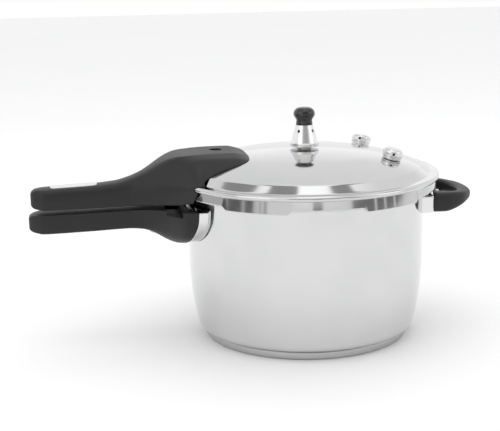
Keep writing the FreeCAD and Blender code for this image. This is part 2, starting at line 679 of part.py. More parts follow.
def make_helper_handle():
    top = rim_top - size("helper_top_drop")
    low = rim_top - size("helper_bottom_drop")
    end = R + size("helper_reach")
    half, ring = size("helper_half"), size("helper_ring")
    bend = R + size("helper_ferrule_length") + 8
    plan = plate("helper_plan", "XY_Plane", [
        (R - 10, half), (R - 10, -half), (bend, -half), (end, -half / 3, 46),
        (end, half / 3, half), (bend, half, 46),
    ], 60, offset=low - 10)
    side = plate("helper_side", "XZ_Plane", [
        (R - 10, low), (bend + 6, low), (end - 7, low + size("helper_end_rise")),
        (end + 1, low + size("helper_end_rise") + 6, 12), (end + 1, top - 3), (end - 4, top, 8),
        (R - 10, top),
    ], 2 * half + 10, both_ways=True)
    bar = helper_root + size("helper_bar")
    inner_half = half - ring
    hole = plate("helper_hole", "XY_Plane", [
        (bar, inner_half - 4), (bar, 4 - inner_half), (bar + 4, -inner_half, 4),
        (end - ring, -inner_half / 3, 33), (end - ring, inner_half / 3, inner_half),
        (bar + 4, inner_half, 33), (bar, inner_half - 4, 4),
    ][1:], 60, offset=low - 10)
    screw_z = (top + low) / 2
    along = Vector(1, 0, 0)
    blank = common("helper_block", plan, side)
    finish(cut("helper_cut", blank, hole, rod("helper_wall_space", helper_root, 80, z=low - 10),
               cross_rod("helper_screw_hole", size("screw_radius"), 40, R + 12, 0, screw_z, along)),
           "helper_handle")

    def band(trim):
        side_in, high, floor = half - 0.8 - trim, top - 2 - trim, low + 0.3 + trim
        turn = size("helper_corner") - trim
        return [
            (-side_in, floor + turn), (turn - side_in, floor, turn),
            (side_in - turn, floor), (side_in, floor + turn, turn), (side_in, high - turn),
            (side_in - turn, high, turn), (turn - side_in, high), (-side_in, high - turn, turn),
        ]

    outer = plate("helper_ferrule_outer", "YZ_Plane", band(0), 60, offset=R - 20)
    inner = plate("helper_ferrule_inner", "YZ_Plane", band(size("ferrule_sheet")), 62, offset=R - 21)
    finish(sleeve("helper_ferrule_sleeve", outer, inner, R, helper_root, low - 10, 60), "helper_ferrule")

    saddle_low, saddle_high = low + 3, top - 5
    saddle = common("helper_saddle",
                    cut("helper_saddle_ring", rod("helper_saddle_out", R + 2, saddle_high - saddle_low,
                                                  z=saddle_low),
                        rod("helper_saddle_in", R, 40, z=saddle_low - 5)),
                    block("helper_saddle_span", (R / 2, -26, saddle_low - 1), (R + 5, 26, saddle_high + 1)))
    nut = cut("helper_nut_cut",
              block("helper_nut", (R + 0.5, -7, screw_z - 5), (helper_root - 0.5, 7, screw_z + 5)),
              rod("helper_nut_inside", R, 40, z=saddle_low - 5))
    stem_space = cross_rod("helper_nut_hole", size("screw_radius"), 20, R + 12.5, 0, screw_z, along)
    finish(cut("helper_bracket_cut", fuse("helper_bracket_fuse", saddle, nut), stem_space),
           "helper_bracket")

    head = size("screw_head_height")
    seat_x = bar
    shank_length = seat_x - R - 3
    shank = cross_rod("helper_shank", size("screw_radius"), shank_length, seat_x - shank_length / 2, 0,
                      screw_z, along)
    top_disc = cross_rod("helper_head", size("screw_head_radius"), head, seat_x + head / 2, 0, screw_z,
                         along)
    slots = [
        block("helper_slot_a", (seat_x + head - 1.5, -2.4, screw_z - 0.4),
              (seat_x + head + 1, 2.4, screw_z + 0.4)),
        block("helper_slot_b", (seat_x + head - 1.5, -0.4, screw_z - 2.4),
              (seat_x + head + 1, 0.4, screw_z + 2.4)),
    ]
    finish(cut("helper_screw_cut", fuse("helper_screw_fuse", shank, top_disc), *slots),
           "helper_handle_screw")


# ---------------------------------------------------------------- lid bracket, lever and bolt

def make_lock():
    strap = size("bracket_sheet")
    inner, outer = R - size("float_inset") + size("float_boss_radius"), shoulder - 2

    def lean(reach):
        sine = crown_sine + (reach - size("crown_reach")) / flank
        return sine, root(1 - sine * sine)

    in_sine, in_cosine = lean(inner)
    out_sine, out_cosine = lean(outer)
    base = turned("bracket_strap", [
        (inner, dome_height(inner)),
        (outer, dome_height(outer), -flank),
        (outer + strap * out_sine, dome_height(outer) + strap * out_cosine),
        (inner + strap * in_sine, dome_height(inner) + strap * in_cosine, flank + strap),
    ], angle=2 * SIZES["bracket_half"])
    base.Placement = Placement(Vector(), Rotation(Vector(0, 0, 1), 180))
    tongue = block("bracket_tongue", (-(R + size("tongue_reach")), -size("tongue_half"), tongue_low),
                   (-(shoulder - 7), size("tongue_half"), tongue_top))
    ears = []
    for label, side in (("near", -1), ("far", 1)):
        face = side * (size("ear_gap") + size("ear_thick") / 2)
        ears.append(block("bracket_ear_" + label,
                          (pivot_x - 4, face - size("ear_thick") / 2, tongue_low - 2),
                          (pivot_x + 4, face + size("ear_thick") / 2, pivot_z + 2)))
    dome = turned("bracket_dome", dome_outline(0, skirt_low))
    across = Vector(0, 1, 0)
    spaces = [
        dome,
        rod("bracket_float_space", size("float_boss_radius") + 0.5, 40, x=float_x, z=float_seat - 20),
        block("bracket_bolt_window", (bolt_x - 2.4, -size("bolt_half") - 0.3, tongue_low - 1),
              (bolt_x + 2.4, size("bolt_half") + 0.3, tongue_top + 1)),
        rod("bracket_screw_hole", size("screw_radius"), 20, x=upper_screw_x, z=tongue_low - 5),
        cross_rod("bracket_pin_hole", size("pivot_pin_radius"), 60, pivot_x, 0, pivot_z, across),
    ]
    finish(cut("bracket_cut", fuse("bracket_fuse", base, tongue, *ears), *spaces), "lid_bracket")
    pin_length = 2 * (size("ear_gap") + size("ear_thick") + 0.4)
    finish(cross_rod("pivot_rod", size("pivot_pin_radius"), pin_length, pivot_x, 0, pivot_z, across),
           "lever_pin")

    thick = size("lever_sheet")
    bar_in = float_x + size("lever_bar_inset")
    boss = size("pivot_pin_radius") + 1.5
    blank = plate("lever_blank", "XZ_Plane", [
        (bar_in, lever_low),
        (bar_in, lever_low + thick),
        (pivot_x + 7.5, lever_low + thick),
        (pivot_x + 3, pivot_z + boss),
        (pivot_x - 3, pivot_z + boss),
        (pivot_x - 5, tail_high),
        (bolt_x - 3.4, tail_high),
        (bolt_x - 3.4, tail_low),
        (pivot_x - 3.5, tail_low),
        (pivot_x - 2, pivot_z - boss),
        (pivot_x + 2, pivot_z - boss),
        (pivot_x + 5, pivot_z),
        (pivot_x + 8, lever_low),
    ], 2 * size("lever_half"), both_ways=True)
    half = size("lever_half")
    window_half = size("float_shoulder_radius") + 0.5
    tools = [
        block("lever_window", (float_x - window_half - 0.6, -window_half, lever_low - 1),
              (float_x + size("float_knob_radius") + 1, window_half, lever_low + 3)),
        block("lever_trim_near", (bolt_x - 6, -half - 1, tail_low - 1),
              (pivot_x - 7, -size("lever_tail_half"), tail_high + 1)),
        block("lever_trim_far", (bolt_x - 6, size("lever_tail_half"), tail_low - 1),
              (pivot_x - 7, half + 1, tail_high + 1)),
        cross_rod("lever_hole", size("pivot_pin_radius") + size("running_gap"), 60, pivot_x, 0, pivot_z,
                  across),
    ]
    finish(cut("lever_cut", blank, *tools), "lock_lever")

    bolt_low = root_top + 0.9
    body = block("bolt_body", (bolt_x - size("bolt_thick") / 2, -size("bolt_half"), bolt_low),
                 (bolt_x + size("bolt_thick") / 2, size("bolt_half"), tail_high + 2.2))
    slot = block("bolt_slot", (bolt_x - 5, -size("lever_tail_half") - 0.3, tail_low - 0.6),
                 (bolt_x + 5, size("lever_tail_half") + 0.3, tail_high + 0.6))
    finish(cut("bolt_cut", body, slot), "lock_bolt")
    finish(screw("upper_screw", upper_screw_x, grip_low + size("screw_head_height") + 2,
                 tongue_top + 1 - grip_low - size("screw_head_height") - 2), "upper_handle_screw")


# ---------------------------------------------------------------- float valve

def make_float():
    stem, thread = size("float_stem_radius"), size("float_thread_radius")
    travel = size("float_travel")
    boss_low = float_seat - size("float_boss_thick")
    washer_low = boss_low - size("washer_height")
    nut_low = washer_low - size("nut_height")
    bush_low = nut_low - 1.5
    bush = turned("float_bush_turn", [
        (stem + size("running_gap"), bush_low), (thread, bush_low), (thread, float_seat),
        (size("float_flange_radius"), float_seat), (size("float_flange_radius"), float_seat + 1),
        (stem + size("running_gap"), float_seat + 1),
    ])
    bush.Placement = Placement(Vector(float_x.value, 0, 0), Rotation())
    bind(bush, "Placement.Base.x", float_x)
    finish(bush, "float_bush")
    pin = turned("float_pin_turn", [
        (0, bush_low - travel - 3.4),
        (thread - 1, bush_low - travel - 3.4),
        (thread - 1, bush_low - travel - 0.4),
        (stem, bush_low - travel - 0.4),
        (stem, float_seat + 1.3),
        (size("float_shoulder_radius"), float_seat + 1.3),
        (size("float_shoulder_radius"), lever_low - 0.3),
        (size("float_knob_radius"), lever_low - 0.3),
        (size("float_knob_radius"), hood_top - 3),
        (size("float_knob_radius") - 1, hood_top - 2.2, 1.2),
        (0, hood_top - 2.2),
    ])
    bind(pin, "Placement.Base.x", float_x)
    finish(pin, "float_pin")
    washer = cut("float_washer_cut", rod("float_washer_disc", thread + 2.5, size("washer_height"),
                                         x=float_x, z=washer_low),
                 rod("float_washer_hole", thread, 10, x=float_x, z=washer_low - 2))
    finish(washer, "float_washer")
    nut = cut("float_nut_cut", hexagon("float_nut_hex", thread + size("nut_reach"), size("nut_height"),
                                       x=float_x, z=nut_low),
              rod("float_nut_hole", thread, 20, x=float_x, z=nut_low - 5))
    finish(nut, "float_nut")


# ---------------------------------------------------------------- vent pipe and weight

weight_low = apex + size("vent_flange_height") + size("weight_lift_gap")
weight_top = weight_low + size("weight_height")


def make_vent():
    pipe = size("vent_radius")
    under = apex - sheet_lid - chord_drop(crown, pipe + 4)
    pipe_top = apex + size("vent_height")
    nut_low = under - size("washer_height") - size("nut_height")
    finish(turned("vent_turn", [
        (size("vent_bore"), nut_low - 2), (pipe, nut_low - 2), (pipe, apex),
        (size("vent_flange_radius"), apex), (size("vent_flange_radius"), apex + size("vent_flange_height")),
        (pipe, apex + size("vent_flange_height")), (pipe, pipe_top - 2), (size("vent_bore"), pipe_top),
    ]), "vent_pipe")
    washer = cut("vent_washer_cut", rod("vent_washer_disc", pipe + 4, size("washer_height"),
                                        z=under - size("washer_height")),
                 rod("vent_washer_hole", pipe, 10, z=under - 5))
    finish(washer, "vent_washer")
    nut = cut("vent_nut_cut", hexagon("vent_nut_hex", pipe + size("nut_reach") + 1, size("nut_height"),
                                      z=nut_low),
              rod("vent_nut_hole", pipe, 20, z=nut_low - 5))
    finish(nut, "vent_nut")

    bore = pipe + size("weight_lift_gap")
    cone = turned("weight_turn", [
        (bore, weight_low),
        (size("weight_radius") - 1, weight_low),
        (size("weight_radius"), weight_low + 1),
        (size("weight_radius"), weight_low + size("weight_band")),
        (size("weight_neck"), weight_top),
        (4, weight_top),
        (4, weight_top + 6),
        (0, weight_top + 6),
        (0, pipe_top + 0.2),
        (size("vent_bore"), pipe_top + 0.2),
        (bore, pipe_top - 1.2),
    ])
    vents = []
    for index in range(WEIGHT_HOLES // 2):
        turn = math.radians(45 + index * 90)
        vents.append(cross_rod("weight_vent_%d" % index, size("weight_hole"), 40, 0, 0,
                               weight_low + size("weight_hole_height"),
                               Vector(math.cos(turn), math.sin(turn), 0)))
    finish(cut("weight_cut", cone, *vents), "weight_cone")
    cap_top = weight_top + size("cap_height")
    finish(turned("weight_cap_turn", [
        (4, weight_top), (size("weight_neck"), weight_top),
        (size("cap_radius"), weight_top + 7.5, 22),
        (size("cap_radius") - 1.6, cap_top - 4, 14),
        (size("cap_radius") - 5, cap_top - 0.6, 6),
        (0, cap_top), (0, weight_top + 6), (4, weight_top + 6),
    ]), "weight_cap")


# ---------------------------------------------------------------- safety valves

def make_valve(name, side):
    outer, wall = size("valve_radius"), size("valve_wall")
    thread, bore = size("valve_thread_radius"), size("valve_seat_bore")
    foot = size("valve_foot_height")
    groove_top = foot + size("valve_groove")
    cap_top = groove_top + size("valve_cap_height")
    plunger = size("plunger_radius")
    under = -(sheet_lid + size("washer_height") + size("nut_height"))
    seat = -size("valve_seat_depth")
    rounding = size("valve_cap_round")
    label = "valve_%s_" % name

    body = turned(label + "body_turn", [
        (bore, under - 1.5), (thread, under - 1.5), (thread, 0.6), (outer - 0.3, 0.6),
        (outer - 0.3, foot), (outer - wall, foot), (outer - wall, groove_top + 1.4),
        (plunger + 0.6, groove_top + 1.4), (plunger + 0.6, seat), (bore, seat),
    ])
    finish(on_valve_axis(body, side), "safety_valve_%s_body" % name)

    shell = turned(label + "cap_turn", [
        (outer - wall, groove_top), (outer, groove_top),
        (outer, cap_top - rounding), (outer - rounding, cap_top, 3.4), (0, cap_top),
        (0, cap_top - wall), (outer - rounding, cap_top - wall), (outer - wall, cap_top - rounding),
    ])
    holes = []
    for index in range(2):
        turn = math.radians(HOLE_TURNS[name] + 90 * index)
        holes.append(cross_rod(label + "cap_hole_%d" % index, size("valve_hole"), 30, 0, 0, groove_top + 3.4,
                               Vector(math.cos(turn), math.sin(turn), 0)))
    finish(on_valve_axis(cut(label + "cap_cut", shell, *holes), side), "safety_valve_%s_cap" % name)

    head_low = seat + 0.1
    spring_low = head_low + 2.2
    spring_top = cap_top - wall - 0.6
    finish(on_valve_axis(turned(label + "plunger_turn", [
        (0, head_low), (plunger, head_low), (plunger, head_low + 2), (1.2, head_low + 2),
        (1.2, spring_top - size("plunger_lift") - 0.8), (0, spring_top - size("plunger_lift") - 0.8),
    ]), side), "safety_valve_%s_plunger" % name)

    height = (spring_top - spring_low).value - 2 * size("spring_wire").value
    pitch = height / size("spring_turns").value
    helix = Part.makeHelix(pitch, height, size("spring_radius").value)
    start = Vector(size("spring_radius").value, 0, 0)
    ring = Part.Wire(Part.makeCircle(size("spring_wire").value, start, Vector(0, 1, 0)))
    coil = Part.Wire(helix).makePipeShell([ring], True, True)
    spring = doc.addObject("Part::Feature", label + "spring")
    spring.Shape = coil
    on_valve_axis(spring, side)
    lift = Placement(Vector(0, 0, spring_low.value + size("spring_wire").value), Rotation())
    spring.Placement = spring.Placement.multiply(lift)
    finish(spring, "safety_valve_%s_spring" % name)

    washer = cut(label + "washer_cut", rod(label + "washer_disc", thread + 3, size("washer_height"),
                                           z=-sheet_lid - size("washer_height") - 0.3),
                 rod(label + "washer_hole", thread, 10, z=-6))
    finish(on_valve_axis(washer, side), "safety_valve_%s_washer" % name)
    nut = cut(label + "nut_cut", hexagon(label + "nut_hex", thread + size("nut_reach"), size("nut_height"),
                                         z=under - 0.3),
              rod(label + "nut_hole", thread, 20, z=under - 5))
    finish(on_valve_axis(nut, side), "safety_valve_%s_nut" % name)


# ---------------------------------------------------------------- build, test and write

make_pot()
make_lid()
make_upper_handle()
make_lower_handle()
make_helper_handle()
make_lock()
make_float()
make_vent()
for valve_name, valve_side in VALVES.items():
    make_valve(valve_name, valve_side)
doc.recompute()

faults = [thing.Name for thing in doc.Objects if "Invalid" in thing.State or "Error" in thing.State]
faults += [thing.Label for thing in finished if thing.Shape.isNull() or not thing.Shape.isValid()]
faults += [thing.Label for thing in finished if not thing.Shape.isNull() and not thing.Shape.Solids]
if faults:
    raise SystemExit("pieces that did not build: " + ", ".join(faults))

os.makedirs("parts", exist_ok=True)
for thing in finished:
    thing.Shape.exportStep("parts/%s.step" % thing.Label)
    print("%-28s %2d solid(s) %10.1f mm3" % (thing.Label, len(thing.Shape.Solids), thing.Shape.Volume))
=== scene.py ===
"""Looks of a stovetop pressure cooker: polished steel pot and lid, bakelite handles, weight and valves.

Lengths inside the shape functions are in millimetres; meshes are made in metres.
"""
import math

import bmesh
import bpy
import numpy as np
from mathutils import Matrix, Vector


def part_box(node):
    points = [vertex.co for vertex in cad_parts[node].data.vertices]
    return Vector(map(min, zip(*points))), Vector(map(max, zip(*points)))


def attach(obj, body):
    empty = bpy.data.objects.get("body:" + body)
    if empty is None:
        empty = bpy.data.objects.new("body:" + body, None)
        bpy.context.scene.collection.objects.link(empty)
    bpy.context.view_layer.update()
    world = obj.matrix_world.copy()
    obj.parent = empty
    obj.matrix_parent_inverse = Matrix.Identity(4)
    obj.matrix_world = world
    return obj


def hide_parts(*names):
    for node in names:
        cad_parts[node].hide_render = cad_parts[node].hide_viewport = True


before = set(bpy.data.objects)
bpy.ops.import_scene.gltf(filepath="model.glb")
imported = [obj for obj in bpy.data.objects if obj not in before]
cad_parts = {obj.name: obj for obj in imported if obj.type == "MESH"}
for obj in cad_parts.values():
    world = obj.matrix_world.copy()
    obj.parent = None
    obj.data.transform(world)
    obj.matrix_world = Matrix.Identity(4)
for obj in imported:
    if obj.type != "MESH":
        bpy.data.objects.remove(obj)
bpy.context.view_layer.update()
MM = 0.001

# ---------------------------------------------------------------- sizes that the frame fixes

R = 110.0
RIM_TOP = 1000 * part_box("pot_shell")[1].z
POT_FLOOR = 1000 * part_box("pot_shell")[0].z
SHEET = 1.2
BASE_HEIGHT = 1000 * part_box("base_cup")[1].z
FLAT_RADIUS = 1000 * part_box("base_cup")[1].x
SKIRT_LOW = 1000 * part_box("lid_shell")[0].z
BEAD_OUTER = 1000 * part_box("lid_shell")[1].y
LAND = SKIRT_LOW + 16.5
SEAT = LAND - SHEET
SHOULDER = R + 5
SHOULDER_TOP = LAND + 3
CROWN, FLANK, CROWN_REACH = 545.0, 192.0, 57.0
crown_sine = CROWN_REACH / CROWN
flank_sine = crown_sine + (SHOULDER - CROWN_REACH) / FLANK
CROWN_EDGE = SHOULDER_TOP + FLANK * (math.sqrt(1 - crown_sine ** 2) - math.sqrt(1 - flank_sine ** 2))
APEX = CROWN_EDGE + CROWN * (1 - math.sqrt(1 - crown_sine ** 2))
FLOAT_X = 500 * (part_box("float_pin")[0].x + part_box("float_pin")[1].x)
HOOD_TOP = LAND + 23.5


# ---------------------------------------------------------------- surfaces

def skin(name, grid, rounds=False, loops=False):
    """Mesh through a grid of points (rows x columns x 3, in mm): neighbours in both directions join as quads.
    rounds joins the last column to the first, loops the last row to the first. Points that fall together at a
    pole or an edge are merged, and the faces turned outwards."""
    rows, cols = grid.shape[:2]
    row, col = np.meshgrid(np.arange(rows if loops else rows - 1),
                           np.arange(cols if rounds else cols - 1), indexing="ij")
    below, beside = (row + 1) % rows, (col + 1) % cols
    quads = np.stack([row * cols + col, below * cols + col, below * cols + beside, row * cols + beside], -1)
    mesh = bpy.data.meshes.new(name)
    mesh.from_pydata((grid.reshape(-1, 3) * MM).tolist(), [], quads.reshape(-1, 4).tolist())
    work = bmesh.new()
    work.from_mesh(mesh)
    bmesh.ops.remove_doubles(work, verts=work.verts, dist=2e-6)
    bmesh.ops.dissolve_degenerate(work, edges=work.edges, dist=1e-7)
    bmesh.ops.recalc_face_normals(work, faces=work.faces)
    work.to_mesh(mesh)
    work.free()
    piece = bpy.data.objects.new(name, mesh)
    bpy.context.scene.collection.objects.link(piece)
    return piece


def smooth(at, knots, values):
    """Smooth run through rows of values at growing knots: on each span a cubic whose end slopes are the
    harmonic means of the neighbouring straight slopes, so that it never overshoots."""
    knots = np.asarray(knots, float)
    values = np.asarray(values, float).reshape(len(knots), -1)
    step = np.diff(knots)[:, None]
    rise = np.diff(values, axis=0) / step
    before, after = rise[:-1], rise[1:]
    same = before * after > 0
    middle = np.where(same, 2 * before * after / np.where(same, before + after, 1), 0)
    slope = np.vstack([rise[:1], middle, rise[-1:]])
    at = np.clip(np.asarray(at, float), knots[0], knots[-1])
    span = np.clip(np.searchsorted(knots, at, side="right") - 1, 0, len(knots) - 2)
    width = step[span]
    t = ((at - knots[span])[:, None]) / width
    return (values[span] * (1 + 2 * t) * (1 - t) ** 2 + slope[span] * width * t * (1 - t) ** 2
            + values[span + 1] * t * t * (3 - 2 * t) + slope[span + 1] * width * t * t * (t - 1))


def eased(corners, softness, steps=5, closed=True):
    """Polygons with eased corners, worked out together. corners is (..., K, D) and softness (..., K): the
    distance from a corner at which its bend starts. Each bend is a quadratic curve whose middle control point
    is the corner: (1-t)^2 a + 2t(1-t) corner + t^2 b."""
    corners, softness = np.asarray(corners, float), np.asarray(softness, float)
    last, following = np.roll(corners, 1, axis=-2), np.roll(corners, -1, axis=-2)
    back, ahead = last - corners, following - corners
    reach_back = np.linalg.norm(back, axis=-1) + 1e-9
    reach_ahead = np.linalg.norm(ahead, axis=-1) + 1e-9
    start = corners + back * (np.minimum(softness, 0.49 * reach_back) / reach_back)[..., None]
    end = corners + ahead * (np.minimum(softness, 0.49 * reach_ahead) / reach_ahead)[..., None]
    if not closed:
        start[..., 0, :] = end[..., 0, :] = corners[..., 0, :]
        start[..., -1, :] = end[..., -1, :] = corners[..., -1, :]
    t = np.linspace(0, 1, steps)[:, None]
    bends = ((1 - t) ** 2 * start[..., None, :] + 2 * t * (1 - t) * corners[..., None, :]
             + t * t * end[..., None, :])
    return bends.reshape(corners.shape[:-2] + (-1, corners.shape[-1]))


def arc(x0, z0, x1, z1, radius, steps=24):
    """Points on the arc of a signed radius from one point to another, the second point included:
    positive bulges to the left of the way, negative to the right."""
    start, end = np.array([x0, z0], float), np.array([x1, z1], float)
    along = end - start
    span = np.linalg.norm(along)
    left = np.array([-along[1], along[0]]) / span
    centre = (start + end) / 2 - np.sign(radius) * left * math.sqrt(max(radius ** 2 - span ** 2 / 4, 0))
    first = math.atan2(*(start - centre)[::-1])
    turn = (math.atan2(*(end - centre)[::-1]) - first + math.pi) % (2 * math.pi) - math.pi
    angle = first + turn * np.linspace(0, 1, steps + 1)[1:]
    return centre + abs(radius) * np.stack([np.cos(angle), np.sin(angle)], -1)


def turned(name, outline, turns=128, place=None, closed=True):
    """A turned piece: the outline (reach, height) carried round an axis, x = reach cos a, y = reach sin a.
    outline is (N, 2), or (turns, N, 2) where it changes with the angle. place moves it onto its own axis."""
    angle = np.linspace(0, 2 * math.pi, turns, endpoint=False)[:, None]
    outline = np.broadcast_to(outline, (turns,) + np.shape(outline)[-2:])
    reach, height = outline[..., 0], outline[..., 1]
    grid = np.stack([reach * np.cos(angle), reach * np.sin(angle), height + 0 * angle], -1)
    if place is not None:
        grid = grid @ place[0].T + place[1]
    return skin(name, grid.transpose(1, 0, 2), rounds=True, loops=closed)


def peg(radius, low, high, x=0.0, y=0.0, place=None, sides=48):
    """A closed round bar standing on (x, y), for cutting holes."""
    outline = np.array([[0, low], [radius, low], [radius, high], [0, high]], float)
    bar = np.eye(3), np.array([x, y, 0.0])
    return turned("peg", outline, sides, place or bar, closed=False)


def slab(low, high):
    """A closed box between two corners, for cutting pockets."""
    (x0, y0, z0), (x1, y1, z1) = low, high
    ring = np.array([[x0, y0], [x1, y0], [x1, y1], [x0, y1]])
    middle = ring.mean(0) + 0 * ring
    rows = [np.c_[xy, np.full(4, z)] for xy, z in ((middle, z0), (ring, z0), (ring, z1), (middle, z1))]
    return skin("slab", np.stack(rows), rounds=True)


def carve(piece, *tools):
    """Takes the tools' space out of a piece and leaves its mesh finished."""
    for tool in tools:
        cut = piece.modifiers.new("cut", "BOOLEAN")
        cut.operation = "DIFFERENCE"
        cut.solver = "EXACT"
        cut.object = tool
    bpy.context.view_layer.update()
    ready = piece.evaluated_get(bpy.context.evaluated_depsgraph_get())
    mesh = bpy.data.meshes.new_from_object(ready)
    piece.modifiers.clear()
    old, piece.data = piece.data, mesh
    bpy.data.meshes.remove(old)
    for tool in tools:
        bpy.data.meshes.remove(tool.data)
    return piece


def fit(piece, paint, slot, body, *nodes, crease=32):
    """Gives a finished piece its material, its soft shading, its body and the nodes that it stands for."""
    mesh = piece.data
    mesh.materials.clear()
    mesh.materials.append(paint)
    mesh.shade_smooth()
    mesh.set_sharp_from_angle(angle=math.radians(crease))
    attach(piece, body)
    if nodes:
        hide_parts(*nodes)
    return piece


# ---------------------------------------------------------------- materials

class Wire:
    """A number on a shader socket: adding, multiplying and so on adds the Math nodes that do it."""

    def __init__(self, paint, socket):
        self.paint = paint
        self.socket = socket

    def maths(self, operation, *values):
        return self.paint.node("ShaderNodeMath", {"operation": operation}, dict(enumerate(values)))

    def __add__(self, other):
        return self.maths("ADD", self, other)

    def __radd__(self, other):
        return self.maths("ADD", other, self)

    def __sub__(self, other):
        return self.maths("SUBTRACT", self, other)

    def __rsub__(self, other):
        return self.maths("SUBTRACT", other, self)

    def __mul__(self, other):
        return self.maths("MULTIPLY", self, other)

    def __rmul__(self, other):
        return self.maths("MULTIPLY", other, self)

    def __pow__(self, other):
        return self.maths("POWER", self, other)


class Nodes:
    """A node tree and the one way that nodes are added to it."""

    def __init__(self, tree):
        self.tree = tree

    def node(self, kind, settings=None, values=None, output=0):
        """A node of a kind with its settings, then its sockets' values or links; gives back one output."""
        made = self.tree.nodes.new(kind)
        for key, value in (settings or {}).items():
            setattr(made, key, value)
        for key, value in (values or {}).items():
            if isinstance(value, Wire):
                self.tree.links.new(value.socket, made.inputs[key])
            else:
                made.inputs[key].default_value = value
        return Wire(self, made.outputs[output]) if made.outputs else made

    def split(self, wire):
        """The three numbers of a vector."""
        return [self.node("ShaderNodeSeparateXYZ", {}, {0: wire}, output=axis) for axis in range(3)]

    def between(self, wire, low, high):
        """The wire's part between two values, as 0 to 1 with soft ends."""
        return self.node("ShaderNodeMapRange", {"interpolation_type": "SMOOTHSTEP"},
                         {"Value": wire, "From Min": low, "From Max": high})


class Paint(Nodes):
    """A material: one surface shader with fixed numbers, and the nodes that feed it."""

    def __init__(self, name, **fixed):
        self.material = bpy.data.materials.new(name)
        self.material.use_nodes = True
        super().__init__(self.material.node_tree)
        self.shader = self.tree.nodes["Principled BSDF"]
        for socket, value in fixed.items():
            self.shader.inputs[socket.replace("_", " ")].default_value = value
        self.place = self.node("ShaderNodeTexCoord", output="Object")

    def feed(self, socket, wire):
        self.tree.links.new(wire.socket, self.shader.inputs[socket])

    def stretched(self, x, y, z):
        """The place on the piece, scaled along each axis."""
        return self.node("ShaderNodeVectorMath", {"operation": "MULTIPLY"}, {0: self.place, 1: (x, y, z)})

    def noise(self, scale, detail=2.0, place=None, rough=0.5):
        values = {"Vector": place or self.place, "Scale": scale, "Detail": detail, "Roughness": rough}
        return self.node("ShaderNodeTexNoise", {}, values)

    def tint(self, wire, dark, light):
        """A colour from dark to light as the wire goes from 0 to 1."""
        return self.node("ShaderNodeMix", {"data_type": "RGBA"},
                         {"Factor": wire, 6: (*dark, 1), 7: (*light, 1)}, output=2)

    def surface(self, colour, rough, height, distance, strength):
        """Feeds the colour, the roughness and the small relief, and gives back the material."""
        self.feed("Base Color", colour)
        self.feed("Roughness", rough)
        relief = {"Height": height, "Distance": distance, "Strength": strength}
        self.feed("Normal", self.node("ShaderNodeBump", {}, relief, output="Normal"))
        return self.material

    def reach(self):
        """Distance from the pot's axis."""
        x, y, _ = self.split(self.place)
        return (x * x + y * y) ** 0.5


def polished_steel(name, shade, around=True):
    """Mirror-polished sheet: a bright metal with the faint lines of the buffing wheel, which run round the
    piece, wide soft waves, and a slight haze from handling."""
    paint = Paint(name, Metallic=1.0)
    x, _, height = paint.split(paint.place)
    reach = paint.reach() if around else x
    lines_at = paint.node("ShaderNodeCombineXYZ", {}, {0: reach * 2600, 1: height * 2600})
    lines = paint.noise(1.0, 3.0, lines_at, 0.7)
    haze = paint.between(paint.noise(22.0, 4.0), 0.35, 0.75)
    wave = paint.noise(7.0, 1.0)
    colour = paint.tint(haze, [shade] * 3, [shade - 0.03, shade - 0.028, shade - 0.022])
    return paint.surface(colour, 0.055 + 0.05 * haze + 0.05 * lines, lines * 0.04 + wave, 0.00035, 0.25)


def satin_steel(name, shade, grain=900.0, rough=0.24):
    """Turned and brushed metal: fine rings of tool marks that break up along the piece."""
    paint = Paint(name, Metallic=1.0)
    marks = paint.noise(1.0, 4.0, paint.stretched(grain * 0.25, grain * 0.25, grain * 3), 0.65)
    cloud = paint.noise(60.0, 3.0)
    colour = paint.tint(marks, [shade - 0.07] * 3, [shade + 0.03] * 3)
    return paint.surface(colour, rough + 0.12 * marks + 0.06 * cloud, marks, 0.00006, 0.35)


def turned_disc(name):
    """The base: aluminium-cored disc with turned rings under it and a brushed rim."""
    paint = Paint(name, Metallic=1.0)
    reach = paint.reach()
    rings_at = paint.node("ShaderNodeCombineXYZ", {}, {0: reach * 900})
    rings = paint.noise(1.0, 2.0, rings_at, 0.6)
    cloud = paint.noise(30.0, 4.0)
    colour = paint.tint(rings, (0.46, 0.46, 0.465), (0.62, 0.62, 0.625))
    return paint.surface(colour, 0.26 + 0.14 * rings + 0.1 * cloud, rings, 0.00012, 0.5)


def bakelite(name, shade=0.015, rough=0.42):
    """Moulded bakelite: near-black, with a very fine grain, faint lighter flecks and a soft sheen that is
    a little uneven where hands rub it."""
    paint = Paint(name, Specular_IOR_Level=0.32)
    grain = paint.noise(1500.0, 3.0)
    flecks = paint.between(paint.noise(520.0, 2.0), 0.64, 0.74)
    rubbed = paint.between(paint.noise(16.0, 4.0), 0.35, 0.7)
    colour = paint.tint(flecks * 0.5 + grain * 0.25, [shade] * 3, [shade * 1.8, shade * 1.85, shade * 1.85])
    return paint.surface(colour, rough + 0.10 * grain - 0.07 * rubbed, grain + flecks * 0.4, 0.00005, 0.5)


def gloss_black(name):
    """The weight's grip: black phenolic polished in the mould, with faint wipe marks."""
    paint = Paint(name, Coat_Weight=0.35, Coat_Roughness=0.05)
    wipe = paint.noise(90.0, 5.0, paint.stretched(1, 1, 3))
    colour = paint.tint(wipe, (0.006, 0.006, 0.007), (0.014, 0.014, 0.015))
    return paint.surface(colour, 0.12 + 0.12 * wipe, wipe, 0.00005, 0.2)


def rubber(name):
    """Silicone seal: warm grey-white, slightly dusty, with tiny moulding pits."""
    paint = Paint(name, Sheen_Weight=0.15)
    pits = paint.noise(700.0, 3.0)
    dust = paint.noise(40.0, 4.0)
    colour = paint.tint(dust, (0.52, 0.50, 0.47), (0.62, 0.60, 0.57))
    return paint.surface(colour, 0.5 + 0.15 * pits, pits, 0.00008, 0.4)


